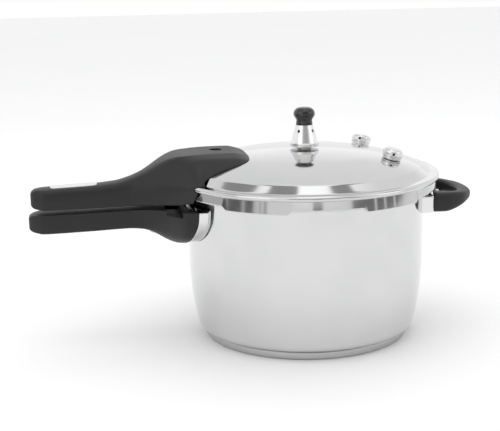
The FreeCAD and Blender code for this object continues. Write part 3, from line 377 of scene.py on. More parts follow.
def brass(name):
    """Turned brass under thin nickel: pale warm metal with tool marks and a little dulling."""
    paint = Paint(name, Metallic=1.0)
    marks = paint.noise(1.0, 4.0, paint.stretched(240, 240, 2600), 0.65)
    dull = paint.noise(120.0, 4.0)
    colour = paint.tint(dull, (0.60, 0.56, 0.48), (0.48, 0.44, 0.37))
    return paint.surface(colour, 0.22 + 0.15 * marks + 0.1 * dull, marks, 0.00006, 0.35)


def brushed_plate(name):
    """The plain nameplate: thin aluminium brushed along its length."""
    paint = Paint(name, Metallic=1.0)
    brush = paint.noise(1.0, 4.0, paint.stretched(45, 2800, 900), 0.7)
    colour = paint.tint(brush, (0.70, 0.70, 0.71), (0.86, 0.86, 0.87))
    return paint.surface(colour, 0.26 + 0.16 * brush, brush, 0.00004, 0.4)


pot_steel = polished_steel("pot_steel", 0.68)
# The lid's steel is the pot's polished steel with a lower shade: painted shade that dims the lid's
# reflections, the dome's most of all.
lid_steel_painted_shade = polished_steel("lid_steel_painted_shade", 0.63)
ferrule_steel = polished_steel("ferrule_steel", 0.74, around=False)
valve_steel = satin_steel("valve_steel", 0.74, rough=0.16)
weight_steel = satin_steel("weight_steel", 0.78, rough=0.10)
bracket_steel = satin_steel("bracket_steel", 0.68, grain=300.0)
base_metal = turned_disc("base_metal")
handle_black = bakelite("handle_black")
cap_black = gloss_black("cap_black")
seal_grey = rubber("seal_grey")
valve_brass = brass("valve_brass")
plate_metal = brushed_plate("plate_metal")


# ---------------------------------------------------------------- pot

def lug_share(turns, first, width, ease):
    """How far each angle is inside one of six lugs, 0 to 1: smooth steps at both ends of every lug."""
    angle = np.degrees(np.linspace(0, 2 * math.pi, turns, endpoint=False))
    off = np.abs((angle - first + 30) % 60 - 30)
    t = np.clip((width / 2 + ease / 2 - off) / ease, 0, 1)
    return t * t * (3 - 2 * t)


def pot_wall():
    """Outline of the pot from the middle of its floor out round the corner, up the belly and the straight
    wall, over the rim and down inside; the rim reaches out further at its six lugs."""
    corner, belly, top = 7.5, 300.0, 80.0
    lean = (top - POT_FLOOR - corner) / (belly - corner)
    across = math.sqrt(1 - lean * lean)
    bend = (FLAT_RADIUS + corner * across, POT_FLOOR + corner * (1 - lean))
    inner = (FLAT_RADIUS + (corner - SHEET) * across, bend[1] + SHEET * lean)
    turns = 360
    share = lug_share(turns, 30, 28, 1.6)
    outside = np.vstack([
        [[0, POT_FLOOR], [40, POT_FLOOR], [FLAT_RADIUS, POT_FLOOR]],
        arc(FLAT_RADIUS, POT_FLOOR, *bend, -corner, 10),
        arc(*bend, R, top, -belly, 28),
        [[R, 100], [R, 125], [R, RIM_TOP - 2.6]],
        arc(R, RIM_TOP - 2.6, R + 1.4, RIM_TOP - SHEET, 1.4, 5),
    ])
    inside = np.vstack([
        [[R + 0.2, RIM_TOP]],
        arc(R + 0.2, RIM_TOP, R - SHEET, RIM_TOP - 1.6, 1.8, 5),
        [[R - SHEET, 125], [R - SHEET, 100], [R - SHEET, top]],
        arc(R - SHEET, top, *inner, belly - SHEET, 28),
        arc(*inner, FLAT_RADIUS, POT_FLOOR + SHEET, corner - SHEET, 10),
        [[40, POT_FLOOR + SHEET], [0, POT_FLOOR + SHEET]],
    ])
    reach = R + 5.2 + 3.3 * share
    flange = np.stack([
        np.stack([reach - 0.3, 0 * reach + RIM_TOP - SHEET], -1),
        np.stack([reach, 0 * reach + RIM_TOP - SHEET + 0.3], -1),
        np.stack([reach, 0 * reach + RIM_TOP - 0.3], -1),
        np.stack([reach - 0.3, 0 * reach + RIM_TOP], -1),
    ], 1)
    whole = np.concatenate([np.broadcast_to(outside, (turns,) + outside.shape), flange,
                            np.broadcast_to(inside, (turns,) + inside.shape)], 1)
    return turned("pot_wall", whole, turns, closed=False)


fit(pot_wall(), pot_steel, "polished_steel", "pot", "pot_shell")


def base_disc():
    """The clad base: eased lower edge, straight rim, and two shallow turned steps underneath."""
    edge = FLAT_RADIUS
    outline = np.vstack([
        [[0, 0.35], [30, 0.35], [30.4, 0], [60, 0], [60.4, 0.35], [84, 0.35], [84.4, 0]],
        [[edge - 1.4, 0]],
        arc(edge - 1.4, 0, edge, 1.4, -1.4, 6),
        [[edge, BASE_HEIGHT - 0.8]],
        arc(edge, BASE_HEIGHT - 0.8, edge - 0.8, BASE_HEIGHT, -0.8, 5),
        [[0, BASE_HEIGHT]],
    ])
    return turned("base_disc", outline, 192, closed=False)


fit(base_disc(), base_metal, "base_aluminium", "pot", "base_cup")


# ---------------------------------------------------------------- lid

def dome_height(reach):
    return CROWN_EDGE - FLANK * (math.sqrt(1 - crown_sine ** 2)
                                 - math.sqrt(1 - (crown_sine + (reach - CROWN_REACH) / FLANK) ** 2))


BROW = SHOULDER - 7.2
SKIRT_INNER, SKIRT_OUTER, BEAD = 120.0, 121.2, 2.5
SKIRT_FOOT = SKIRT_OUTER + 0.6
VALVE_REACH = 82.0
# bearing from +X and the turn of the cap's first hole, in degrees
VALVES = {"rear": (36, 30), "front": (-27, 16)}
valve_sine = crown_sine + (VALVE_REACH - CROWN_REACH) / FLANK


def valve_place(label):
    """Turn and place of a safety valve's axis, square to the dome."""
    bearing, tilt = math.radians(VALVES[label][0]), math.asin(valve_sine)
    out = np.array([math.cos(bearing), math.sin(bearing), 0])
    across = np.array([-out[1], out[0], 0])
    up = np.array([out[0] * math.sin(tilt), out[1] * math.sin(tilt), math.cos(tilt)])
    along = np.cross(across, up)
    return np.stack([along, across, up], 1), out * VALVE_REACH + [0, 0, dome_height(VALVE_REACH)]


def cross_holes(radius, height, first, spin=np.eye(3), base=np.zeros(3)):
    """Two rods at right angles through a turned piece's axis, at a height along it."""
    rods = []
    for turn in (math.radians(first), math.radians(first + 90)):
        out = spin @ np.array([math.cos(turn), math.sin(turn), 0])
        across = spin @ np.array([-math.sin(turn), math.cos(turn), 0])
        place = np.stack([across, spin[:, 2], out], 1), base + spin[:, 2] * height
        rods.append(peg(radius, -20, 20, place=place, sides=24))
    return rods


def lid_wall():
    """Outline of the lid from the vent hole out over the crown and flank arcs, down the shoulder to the
    land, round the rolled bead and down the skirt, whose lower edge turns in and up at six hooks."""
    turns = 480
    share = lug_share(turns, 27.5, 31, 2.4)
    crown_cosine = math.sqrt(1 - crown_sine ** 2)
    inner_crown, inner_flank = CROWN - SHEET, FLANK - SHEET
    skirt_top = LAND - 2 * BEAD
    over = np.vstack([
        [[3.0, APEX - 3.0 ** 2 / 2 / CROWN]],
        arc(3.0, APEX - 3.0 ** 2 / 2 / CROWN, CROWN_REACH, CROWN_EDGE, CROWN, 24),
        arc(CROWN_REACH, CROWN_EDGE, BROW, dome_height(BROW), FLANK, 28),
        [[BROW + 0.5, dome_height(BROW) - 0.4]],
        [[SHOULDER - 0.6, LAND + 1.1]],
        arc(SHOULDER + 0.1, LAND + 0.6, SHOULDER + 1.7, LAND, -2.4, 5),
        [[BEAD_OUTER - BEAD, LAND]],
        arc(BEAD_OUTER - BEAD, LAND, BEAD_OUTER, LAND - BEAD, BEAD, 10),
        arc(BEAD_OUTER, LAND - BEAD, BEAD_OUTER - BEAD + 0.4, skirt_top + 0.05, BEAD, 9),
        [[SKIRT_OUTER - 0.9, skirt_top - 0.4]],
        [[SKIRT_OUTER - 0.86, skirt_top - 0.7]],
    ])
    low = SKIRT_LOW + 3 * share
    turn = 0.45 + 0.75 * share
    bend = np.linspace(0, math.pi / 2, 5)
    above = np.stack([0 * share + SKIRT_FOOT - 0.05, low + turn + 0.4], -1)[:, None]
    edge = np.stack([
        (SKIRT_FOOT - turn)[:, None] + turn[:, None] * np.cos(bend),
        (low + turn)[:, None] - turn[:, None] * np.sin(bend)], -1)
    tip = SKIRT_INNER + 0.8 - 6.3 * share
    lip = np.stack([
        np.stack([tip, low], -1),
        np.stack([tip, low + 1.2 * share + 0.3 * (1 - share)], -1),
        np.stack([0 * tip + SKIRT_INNER + 0.5, low + 1.25 * share + 0.31 * (1 - share)], -1),
    ], 1)
    under = np.vstack([
        [[SKIRT_INNER - 0.7, skirt_top - 0.5], [SKIRT_INNER - 0.7, SEAT]],
        [[SHOULDER - 2 * SHEET, SEAT]],
        [[BROW - SHEET, dome_height(BROW) - 1.6 * SHEET]],
        arc(BROW - SHEET, dome_height(BROW) - 1.3 * SHEET,
            CROWN_REACH - SHEET * crown_sine, CROWN_EDGE - SHEET * crown_cosine, -inner_flank, 28),
        arc(CROWN_REACH - SHEET * crown_sine, CROWN_EDGE - SHEET * crown_cosine,
            3.0, APEX - SHEET, -inner_crown, 24),
    ])
    whole = np.concatenate([np.broadcast_to(over, (turns,) + over.shape), above, edge, lip,
                            np.broadcast_to(under, (turns,) + under.shape)], 1)
    piece = turned("lid_wall", whole, turns)
    holes = [peg(5.0, 120, 190, x=FLOAT_X)]
    holes += [peg(5.0, -15, 15, place=valve_place(label)) for label in VALVES]
    return carve(piece, *holes)


fit(lid_wall(), lid_steel_painted_shade, "polished_steel", "lid", "lid_shell")


# ---------------------------------------------------------------- weight and safety valves

weight_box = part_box("weight_cone")
WEIGHT_LOW = 1000 * weight_box[0].z
WEIGHT_TOP = WEIGHT_LOW + 20
CAP_TOP = 1000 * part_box("weight_cap")[1].z
PIPE_TOP = APEX + 17


def weight_cone():
    """Turned steel cone over a short straight band, bored from below for the vent pipe, with four vent
    holes near its top."""
    outline = np.vstack([
        [[3.4, WEIGHT_LOW], [12.7, WEIGHT_LOW]],
        arc(12.7, WEIGHT_LOW, 13.5, WEIGHT_LOW + 0.8, -0.8, 5),
        [[13.5, WEIGHT_LOW + 2.9]],
        arc(13.5, WEIGHT_LOW + 2.9, 13.1, WEIGHT_LOW + 3.6, 0.8, 4),
        [[12.5, WEIGHT_LOW + 3.7], [12.3, WEIGHT_LOW + 4.1], [10.0, WEIGHT_LOW + 12.2],
         [8.1, WEIGHT_LOW + 19.0], [7.9, WEIGHT_LOW + 19.8], [7.4, WEIGHT_TOP], [0, WEIGHT_TOP],
         [0, PIPE_TOP + 0.2], [1.2, PIPE_TOP + 0.2], [3.4, PIPE_TOP - 1.2]],
    ])
    return carve(turned("weight_body", outline, 96), *cross_holes(1.4, WEIGHT_LOW + 14.5, 45))


def weight_cap():
    """The moulded grip: narrow waist, widest low on the crown, then a domed top."""
    steps = np.linspace(0, 1, 60)
    knots = [0, 0.05, 0.14, 0.26, 0.40, 0.55, 0.70, 0.82, 0.91, 0.97, 1.0]
    reach = smooth(steps, knots, [7.75, 7.6, 7.35, 7.9, 9.3, 10.0, 9.5, 8.2, 6.0, 3.2, 0.0])[:, 0]
    rise = smooth(steps, knots, [0, 0.12, 0.22, 0.33, 0.46, 0.60, 0.75, 0.87, 0.955, 0.992, 1.0])[:, 0]
    outline = np.c_[reach, WEIGHT_TOP + 0.05 + rise * (CAP_TOP - WEIGHT_TOP - 0.1)]
    return turned("weight_grip", np.vstack([[[0, WEIGHT_TOP + 0.05]], outline]), 96, closed=False)


fit(weight_cone(), weight_steel, "satin_steel", "weight", "weight_cone")
fit(weight_cap(), cap_black, "black_cap", "weight", "weight_cap", crease=50)


def valve_foot(label):
    """The valve's base: threaded stem through the lid, a low flange on the dome and the neck inside the
    cap, turned about its own axis."""
    outline = np.vstack([
        [[1.6, -8.3], [5.0, -8.3], [5.0, 0.6], [8.5, 0.6]],
        arc(8.5, 0.6, 8.7, 0.8, -0.2, 3),
        [[8.7, 1.4]],
        arc(8.7, 1.4, 8.5, 1.6, -0.2, 3),
        [[7.8, 1.6], [7.8, 3.6], [4.0, 3.6], [4.0, -4.5], [1.6, -4.5]],
    ])
    return turned("valve_foot_" + label, outline, 72, valve_place(label))


def valve_cap(label):
    """The valve's cap: a thin-walled cup with a rounded rim, a softly domed top and round side holes."""
    outline = np.vstack([
        [[7.8, 2.2], [8.7, 2.2]],
        arc(8.7, 2.2, 9.0, 2.5, -0.3, 3),
        [[9.0, 6.2]],
        arc(9.0, 6.2, 5.6, 9.4, -3.5, 12),
        [[3.0, 9.56], [0, 9.6], [0, 8.4], [5.4, 8.3]],
        arc(5.4, 8.3, 7.8, 6.0, 2.6, 8),
    ])
    piece = turned("valve_hood_" + label, outline, 72, valve_place(label))
    return carve(piece, *cross_holes(1.25, 5.6, VALVES[label][1], *valve_place(label)))


for label in VALVES:
    fit(valve_foot(label), valve_steel, "satin_steel", "lid", "safety_valve_%s_body" % label)
    fit(valve_cap(label), valve_steel, "satin_steel", "lid", "safety_valve_%s_cap" % label)


# ---------------------------------------------------------------- long handles

def lofted(name, stations, softness, at, flip=-1.0):
    """A handle: at each reach u the section is a polygon with eased corners, mirrored across the handle's
    middle plane. stations gives, per reach, the half section's corners (v, z) from the top middle to the
    bottom middle; softness the ease of each. Corners run smoothly along u between the stations, and both
    ends close onto their middle points."""
    stations, at = np.asarray(stations, float), np.asarray(at, float)
    half = smooth(at, stations[:, 0], stations[:, 1:]).reshape(len(at), -1, 2)
    ease = smooth(at, np.asarray(softness)[:, 0], np.asarray(softness)[:, 1:])
    mirrored = half[:, -2:0:-1] * [-1, 1]
    corners = np.concatenate([half, mirrored], 1)
    bends = np.concatenate([ease, ease[:, -2:0:-1]], 1)
    ring = eased(corners, bends, 6)
    grid = np.concatenate([np.broadcast_to((flip * at)[:, None, None], ring.shape[:2] + (1,)), ring], -1)
    ends = [np.broadcast_to(grid[i].mean(0), grid[i].shape)[None] for i in (0, -1)]
    return skin(name, np.concatenate([ends[0], grid, ends[1]]), rounds=True)


UPPER = [
    # reach, top middle, facet edge, crease, widest, lower edge, bottom middle
    (54.6, 0, 171.4, 14, 171.2, 26, 170.2, 35, 167.4, 35, 158, 0, 158),
    (57.0, 0, 173.0, 17, 172.8, 31, 170.8, 40, 167.4, 40, 155, 0, 155),
    (62.0, 0, 174.7, 20, 174.4, 33.5, 171.8, 43, 167.2, 43, 150, 0, 150),
    (71.0, 0, 176.5, 22, 176.1, 34.5, 173.0, 44.5, 166.6, 44.5, 145, 0, 145),
    (85.0, 0, 176.5, 22, 176.2, 34.5, 173.2, 46.8, 163.6, 47, 140, 0, 140),
    (96.5, 0, 176.3, 22, 176.0, 34, 172.8, 50.0, 158.6, 47.6, 137, 0, 137),
    (100.0, 0, 176.1, 22, 175.8, 33.6, 172.6, 54.0, 156.2, 49.8, 136.8, 0, 136.8),
    (103.0, 0, 176.0, 22, 175.7, 33, 172.3, 57.8, 154.2, 51.2, 136.7, 0, 136.7),
    (105.5, 0, 175.9, 21.9, 175.6, 32.5, 172.0, 60.6, 153.0, 51.8, 136.7, 0, 136.7),
    (108.0, 0, 175.7, 21.7, 175.4, 31.8, 171.6, 60.4, 152.2, 51.4, 136.7, 0, 136.7),
    (110.5, 0, 175.6, 21.5, 175.2, 31.0, 171.3, 58.6, 151.8, 50.4, 136.7, 0, 136.6),
    (114.0, 0, 175.4, 21.2, 175.0, 30.0, 170.9, 54.4, 151.0, 48.0, 136.0, 0, 136.0),
    (120.0, 0, 174.9, 20.5, 174.4, 28, 169.6, 47.2, 150.0, 42.8, 134.6, 0, 134.4),
    (127.0, 0, 173.2, 18.5, 172.6, 24.6, 167.2, 39.2, 149.2, 36.0, 133.2, 0, 133.0),
    (133.0, 0, 170.9, 16, 170.1, 21.6, 164.8, 32.8, 148.6, 30.4, 132.4, 0, 132.2),
    (138.5, 0, 168.0, 13.5, 167.1, 19.2, 162.2, 28.2, 148.0, 26.2, 131.8, 0, 131.6),
    (146.0, 0, 163.4, 11, 162.4, 16.8, 158.1, 22.6, 146.2, 21.6, 131.2, 0, 131.0),
    (154.0, 0, 159.0, 9.4, 158.0, 14.9, 154.4, 18.9, 144.6, 18.2, 130.8, 0, 130.6),
    (166.0, 0, 154.3, 8.6, 153.5, 13.0, 150.9, 15.2, 142.8, 14.8, 130.3, 0, 130.1),
    (177.0, 0, 151.5, 8.4, 150.9, 12.5, 148.6, 14.4, 141.8, 14.2, 129.9, 0, 129.7),
    (200.0, 0, 149.7, 8.4, 149.1, 12.4, 147.0, 14.3, 140.8, 14.1, 129.6, 0, 129.5),
    (238.0, 0, 148.5, 8.4, 147.9, 12.4, 145.9, 14.3, 139.8, 14.1, 129.4, 0, 129.4),
    (242.4, 0, 148.3, 8.2, 147.7, 12.1, 145.7, 13.9, 139.6, 13.6, 129.5, 0, 129.4),
    (244.4, 0, 148.1, 7.8, 147.5, 11.0, 145.5, 12.4, 139.4, 12.0, 129.9, 0, 129.6),
    (248.6, 0, 147.5, 6.4, 147.0, 8.6, 145.1, 9.6, 139.2, 9.3, 130.3, 0, 130.0),
    (251.6, 0, 145.9, 4.6, 145.4, 6.0, 143.9, 6.6, 138.9, 6.4, 131.6, 0, 131.3),
    (252.8, 0, 144.0, 3.0, 143.7, 3.8, 142.7, 4.2, 138.6, 4.0, 133.2, 0, 133.0),
    (253.0, 0, 142.8, 2.0, 142.6, 2.4, 141.9, 2.6, 138.5, 2.5, 134.4, 0, 134.3),
]
UPPER_EASE = [
    (54.6, 0, 1.6, 4.0, 3.0, 2, 0),
    (72.0, 0, 1.4, 3.0, 4.0, 2, 0),
    (100.0, 0, 1.5, 4.0, 2.4, 1.4, 0),
    (112.0, 0, 1.6, 4.5, 3.0, 1.0, 0),
    (138.0, 0, 5.5, 8.0, 8.0, 1.0, 0),
    (160.0, 0, 6.0, 5.5, 6.0, 1.0, 0),
    (253.0, 0, 6.0, 5.0, 5.0, 1.0, 0),
]


def upper_reaches():
    return np.unique(np.concatenate([
        54.6 + 7.4 * np.linspace(0, 1, 9) ** 1.5, np.linspace(62, 114, 34), np.linspace(114, 180, 44),
        np.linspace(180, 240, 16), 240 + 13 * np.sin(np.linspace(0, math.pi / 2, 20))]).round(4))


PLATE_X = -(R + 104)
BOLT_X = -(R + 18)
HALF_CAVITY, HALF_TONGUE = 13, 11.3


def lid_space(gap):
    """The lid's outside raised by a gap, as a closed turned piece: dome, shoulder, land, bead and skirt."""
    far = BEAD_OUTER + gap
    dome = arc(CROWN_REACH, CROWN_EDGE + gap, SHOULDER, SHOULDER_TOP + gap, FLANK + gap, 24)
    outline = np.vstack([
        [[0, 100], [SKIRT_FOOT + gap, 100], [SKIRT_FOOT + gap, LAND - 5.2 - gap]],
        arc(122.0 + gap, LAND - 5.2 - gap, far, LAND - 2.5, -2.9, 8),
        arc(far, LAND - 2.5, far - 2.5, LAND + gap, -2.7, 8),
        [[SHOULDER + gap, LAND + gap]],
        dome[::-1],
        arc(CROWN_REACH, CROWN_EDGE + gap, 0.01, APEX + gap, -CROWN, 16),
        [[0, APEX + gap]],
    ])
    return turned("lid_space", outline, 360, closed=False)


def upper_handle():
    """The lid's long handle with its hood, fitted over the lid and hollowed for the lock."""
    piece = lofted("lid_handle", UPPER, UPPER_EASE, upper_reaches())
    gap = 0.3
    tongue_low, tongue_top = LAND + 5.3, LAND + 7.3
    screw_x, grip_low = -(R + 29), LAND - 23.6
    tools = [
        lid_space(gap),
        slab((-(R - 9), -HALF_CAVITY, SEAT), (FLOAT_X + 10.5, HALF_CAVITY, HOOD_TOP - 1.8)),
        slab((BOLT_X - 4, -HALF_CAVITY, tongue_top), (-(R - 10), HALF_CAVITY, LAND + 16)),
        slab((-(R + 2), -HALF_CAVITY, tongue_top), (-(R - 10.1), HALF_CAVITY, LAND + 18.6)),
        slab((-(R + 36.3), -HALF_TONGUE, tongue_low - gap), (-(R - 10), HALF_TONGUE, tongue_top + gap)),
        slab((-(SHOULDER + gap), -HALF_TONGUE, SHOULDER_TOP), (-(R - 10), HALF_TONGUE, tongue_top + 0.1)),
        slab((BOLT_X - 2.1, -6.1, 100), (BOLT_X + 2.1, 6.1, tongue_top + 1)),
        peg(5.75, HOOD_TOP - 8, HOOD_TOP + 10, x=FLOAT_X),
        peg(2.0, 100, tongue_top + 2, x=screw_x, sides=32),
        peg(4.5, 100, grip_low + 5, x=screw_x, sides=32),
        nameplate_block("plate_seat", 0.12, -1.0, 4.0, PLATE_X),
    ]
    return carve(piece, *tools)


def handle_top(reach):
    """Height of the upper handle's top middle at a reach."""
    table = np.asarray(UPPER)
    return smooth(np.atleast_1d(reach), table[:, 0], table[:, 2])[:, 0]


def nameplate_block(name, grow, low, high, plate_x):
    """A plain plate with round corners that follows the handle's top: outline corners eased, thickness from
    low to high above that top, and a small bevel round the upper face."""
    half_x, half_y = 21.0, 6.5
    rows = []
    for inset, rise in ((0, low), (0, high - 0.2), (0.22, high)):
        x, y = half_x + grow - inset, half_y + grow - inset
        corners = np.array([[x, y], [-x, y], [-x, -y], [x, -y]])
        ring = eased(corners, np.full(4, 3.4), 7)
        rows.append(np.c_[ring[:, 0] + plate_x, ring[:, 1], handle_top(-(ring[:, 0] + plate_x)) + rise])
    ends = [np.broadcast_to(row.mean(0), row.shape) for row in (rows[0], rows[-1])]
    ends[1] = ends[1].copy()
    middle = np.stack([rows[-1] * [1, s, 1] for s in (0.66, 0.33, 0.0)])
    floor = np.stack([rows[0] * [1, s, 1] for s in (0.0, 0.5)])
    return skin(name, np.concatenate([floor, np.stack(rows), middle]), rounds=True)


fit(upper_handle(), handle_black, "bakelite", "lid", "upper_handle", crease=40)
plate = nameplate_block("handle_plate", 0.0, -0.9, 0.15, PLATE_X)
fit(plate, plate_metal, "nameplate", "lid", "nameplate")

LOWER = [
    # reach, top middle, top edge, side, low side, lower edge, bottom middle
    (100.0, 0, 128.9, 50.8, 128.8, 49.4, 115.5, 38.5, 101.5, 20.5, 93.8, 0, 92.9),
    (113.0, 0, 128.8, 50.8, 128.7, 49.4, 115.5, 38.5, 101.5, 20.5, 93.8, 0, 92.9),
    (117.5, 0, 128.7, 49.5, 128.5, 48.2, 115.3, 37.5, 101.6, 20.0, 94.0, 0, 93.1),
    (121.5, 0, 128.6, 46.2, 128.4, 45.0, 115.3, 35.0, 101.8, 19.0, 94.2, 0, 93.3),
    (126.0, 0, 128.4, 40.6, 128.1, 39.8, 115.3, 31.2, 102.2, 17.6, 95.2, 0, 94.4),
    (132.0, 0, 128.1, 33.0, 127.8, 32.8, 115.9, 26.4, 104.0, 16.0, 97.8, 0, 97.0),
    (140.0, 0, 127.7, 25.4, 127.3, 25.6, 117.0, 21.6, 107.0, 14.4, 102.4, 0, 101.8),
    (147.0, 0, 127.4, 20.6, 127.0, 21.0, 117.8, 18.6, 109.4, 13.4, 105.9, 0, 105.4),
    (154.0, 0, 127.1, 17.4, 126.7, 17.8, 118.0, 16.5, 110.6, 12.6, 107.8, 0, 107.4),
    (166.0, 0, 126.6, 14.8, 126.2, 15.2, 118.0, 14.7, 111.2, 12.0, 108.7, 0, 108.4),
    (200.0, 0, 126.0, 14.1, 125.6, 14.4, 117.6, 14.0, 110.0, 11.8, 107.8, 0, 107.5),
    (240.0, 0, 125.6, 14.0, 125.2, 14.3, 117.0, 13.9, 109.4, 11.8, 107.2, 0, 106.9),
    (244.6, 0, 125.6, 13.6, 125.2, 13.9, 117.0, 13.4, 109.5, 11.4, 107.4, 0, 107.1),
    (246.8, 0, 125.4, 12.2, 125.0, 12.6, 117.0, 12.3, 109.8, 10.5, 107.8, 0, 107.5),
    (251.0, 0, 124.8, 9.0, 124.4, 9.4, 116.8, 9.2, 110.4, 8.0, 108.6, 0, 108.4),
    (254.0, 0, 123.6, 6.2, 123.3, 6.6, 116.6, 6.4, 111.4, 5.6, 110.0, 0, 109.8),
    (255.3, 0, 122.0, 4.0, 121.8, 4.3, 116.4, 4.1, 112.6, 3.6, 111.6, 0, 111.5),
    (255.5, 0, 121.0, 2.4, 120.8, 2.6, 116.4, 2.4, 113.6, 2.1, 112.9, 0, 112.9),
]
LOWER_EASE = [
    (100.0, 0, 1.2, 8, 10, 10, 0),
    (140.0, 0, 1.0, 7, 5, 4, 0),
    (255.5, 0, 1.0, 6, 3.5, 3, 0),
]


def lower_reaches():
    return np.unique(np.concatenate([
        np.linspace(100, 170, 52), np.linspace(170, 240, 16),
        240 + 15.5 * np.sin(np.linspace(0, math.pi / 2, 20))]).round(4))


def lower_handle():
    """The pot's long handle: deep rounded root at its ferrule, slim grip, notch and bolt pocket on top."""
    piece = lofted("pot_handle", LOWER, LOWER_EASE, lower_reaches())
    top = RIM_TOP - 17.6
    screw_x, tongue_low = -(R + 32), RIM_TOP - 33
    tools = [
        peg(117.5, 60, 160, sides=360),
        slab((BOLT_X - 5, -60, top - 4.8), (BOLT_X + 8, 26, top + 10)),
        slab((BOLT_X - 5, -7, top - 10), (BOLT_X + 8, 26, top + 2)),
        slab((-(R + 40), -9, tongue_low), (-R, 9, tongue_low + 2)),
        peg(2.0, tongue_low - 13, tongue_low + 4, x=screw_x, sides=32),
        peg(4.5, 80, tongue_low - 8, x=screw_x, sides=32),
    ]
    return carve(piece, *tools)


fit(lower_handle(), handle_black, "bakelite", "pot", "lower_handle", crease=40)


def sleeve(name, ring, inner_ring, radius, length, side):
    """A sheet sleeve between the pot's wall and a handle: a ring (v, z) carried outwards from the wall, its
    x following circles round the pot's axis, turned in at the outer edge and back along the inside."""
    rows = []
    turned_in = 0.88 * ring + 0.12 * inner_ring
    edge = 0.65 * ring + 0.35 * inner_ring
    for out, outline in ((0, ring), (length * 0.33, ring), (length * 0.66, ring), (length - 0.4, ring),
                         (length - 0.12, turned_in), (length, edge), (length, inner_ring), (0, inner_ring)):
        x = side * np.sqrt((radius + out) ** 2 - outline[:, 0] ** 2)
        rows.append(np.c_[x, outline])
    return skin(name, np.stack(rows), rounds=True, loops=True)


def lower_ferrule():
    """Polished sleeve at the pot handle's root, one thickness inside the handle's outline."""
    root = np.array([(-50, 128.2), (-48.7, 114.8), (-37.6, 101.3), (-20, 94.3), (0, 93.5),
                     (20, 94.3), (37.6, 101.3), (48.7, 114.8), (50, 128.2)])
    ease = np.array([1.2, 8, 10, 10, 8, 10, 10, 8, 1.2])
    inner = root * [0.979, 1] + [0, 0.9]
    inner[[0, -1], 1] = 127.2
    return sleeve("pot_handle_ferrule", eased(root, ease, 12), eased(inner, ease, 12), R, 7.5, -1)


fit(lower_ferrule(), ferrule_steel, "polished_steel", "pot", "lower_ferrule", crease=40)


# ---------------------------------------------------------------- helper handle

HELPER_TOP, HELPER_LOW = RIM_TOP - 12.2, RIM_TOP - 30.5
HELPER_ROOT = R + 10


def ring_reach(corners, ease, angle, centre):
    """Distance from a centre to an eased outline, in each direction: read off the outline's own angles."""
    outline = eased(np.asarray(corners, float), np.asarray(ease, float), 16) - centre
    around = np.arctan2(outline[:, 1], outline[:, 0])
    order = np.argsort(around)
    return np.interp(angle, around[order], np.hypot(*outline[order].T), period=2 * math.pi)


def helper_handle():
    """A D-shaped loop: at each angle a the section is a rounded oval between the finger hole's outline and
    the outer outline, centred at a height that rises outwards; x, y = middle + half width cos^p b along the
    ray, z = middle height + half height sin^p b, with p under one for full cheeks."""
    centre = np.array([136.0, 0.0])
    angle = np.linspace(-math.pi, math.pi, 240, endpoint=False)
    outer = [(111.5, 45), (111.5, -45), (126, -45), (143, -39.5), (155.5, -22), (158.5, 0),
             (155.5, 22), (143, 39.5), (126, 45)]
    inner = [(127.5, 30.5), (127.5, -30.5), (137.5, -28.5), (143.3, -17), (145.2, 0), (143.3, 17),
             (137.5, 28.5)]
    out = ring_reach(outer, [1, 1, 8, 9, 8, 10, 8, 9, 8], angle, centre)
    hole = ring_reach(inner, [4, 4, 6, 7, 9, 7, 6], angle, centre)
    turn = np.linspace(0, 2 * math.pi, 40, endpoint=False)
    power = 0.62
    across = np.sign(np.cos(turn)) * np.abs(np.cos(turn)) ** power
    upright = np.sign(np.sin(turn)) * np.abs(np.sin(turn)) ** power
    middle, half = (out + hole) / 2, (out - hole) / 2
    reach = middle[:, None] + half[:, None] * across
    x = centre[0] + reach * np.cos(angle)[:, None]
    y = centre[1] + reach * np.sin(angle)[:, None]
    rise = np.clip((x - 122) / 34, 0, 1)
    rise = rise * rise * (3 - 2 * rise)
    low = HELPER_LOW + 7.5 * rise
    high = HELPER_TOP - 1.6 * rise
    z = (low + high) / 2 + (high - low) / 2 * upright
    piece = skin("helper_loop", np.stack([x, y, z], -1), rounds=True, loops=True)
    along = np.stack([[0, 1, 0], [0, 0, 1], [1, 0, 0]], 1).astype(float)
    place = along, np.array([0, 0, (HELPER_TOP + HELPER_LOW) / 2])
    return carve(piece, peg(HELPER_ROOT, 60, 200, sides=360), peg(2.0, 100, 135, place=place, sides=32))


fit(helper_handle(), handle_black, "bakelite", "pot", "helper_handle", crease=40)


def helper_ferrule():
    """Polished sleeve of the helper handle: a flat oval with eased corners."""
    side, low, high = 44.2, HELPER_LOW + 0.3, HELPER_TOP - 2
    corners = np.array([(-side, low), (side, low), (side, high), (-side, high)])
    inner = np.array([(1 - side, low + 1), (side - 1, low + 1), (side - 1, high - 1), (1 - side, high - 1)])
    return sleeve("helper_ferrule_sleeve", eased(spread_ring(corners), spread_ease(4.5), 8),
                  eased(spread_ring(inner), spread_ease(3.6), 8), R, 10, 1)


def spread_ring(corners):
    """The corners with points between them, so that long edges can follow the wall."""
    following = np.roll(corners, -1, axis=0)
    share = np.linspace(0, 1, 9)[:-1, None]
    return (corners[:, None] * (1 - share) + following[:, None] * share).reshape(-1, 2)


def spread_ease(amount):
    """An ease for each real corner, and none for the points between."""
    ease = np.zeros((4, 8))
    ease[:, 0] = amount
    return ease.reshape(-1)


fit(helper_ferrule(), ferrule_steel, "polished_steel", "pot", "helper_ferrule", crease=40)


# ---------------------------------------------------------------- pieces that keep the frame's shape

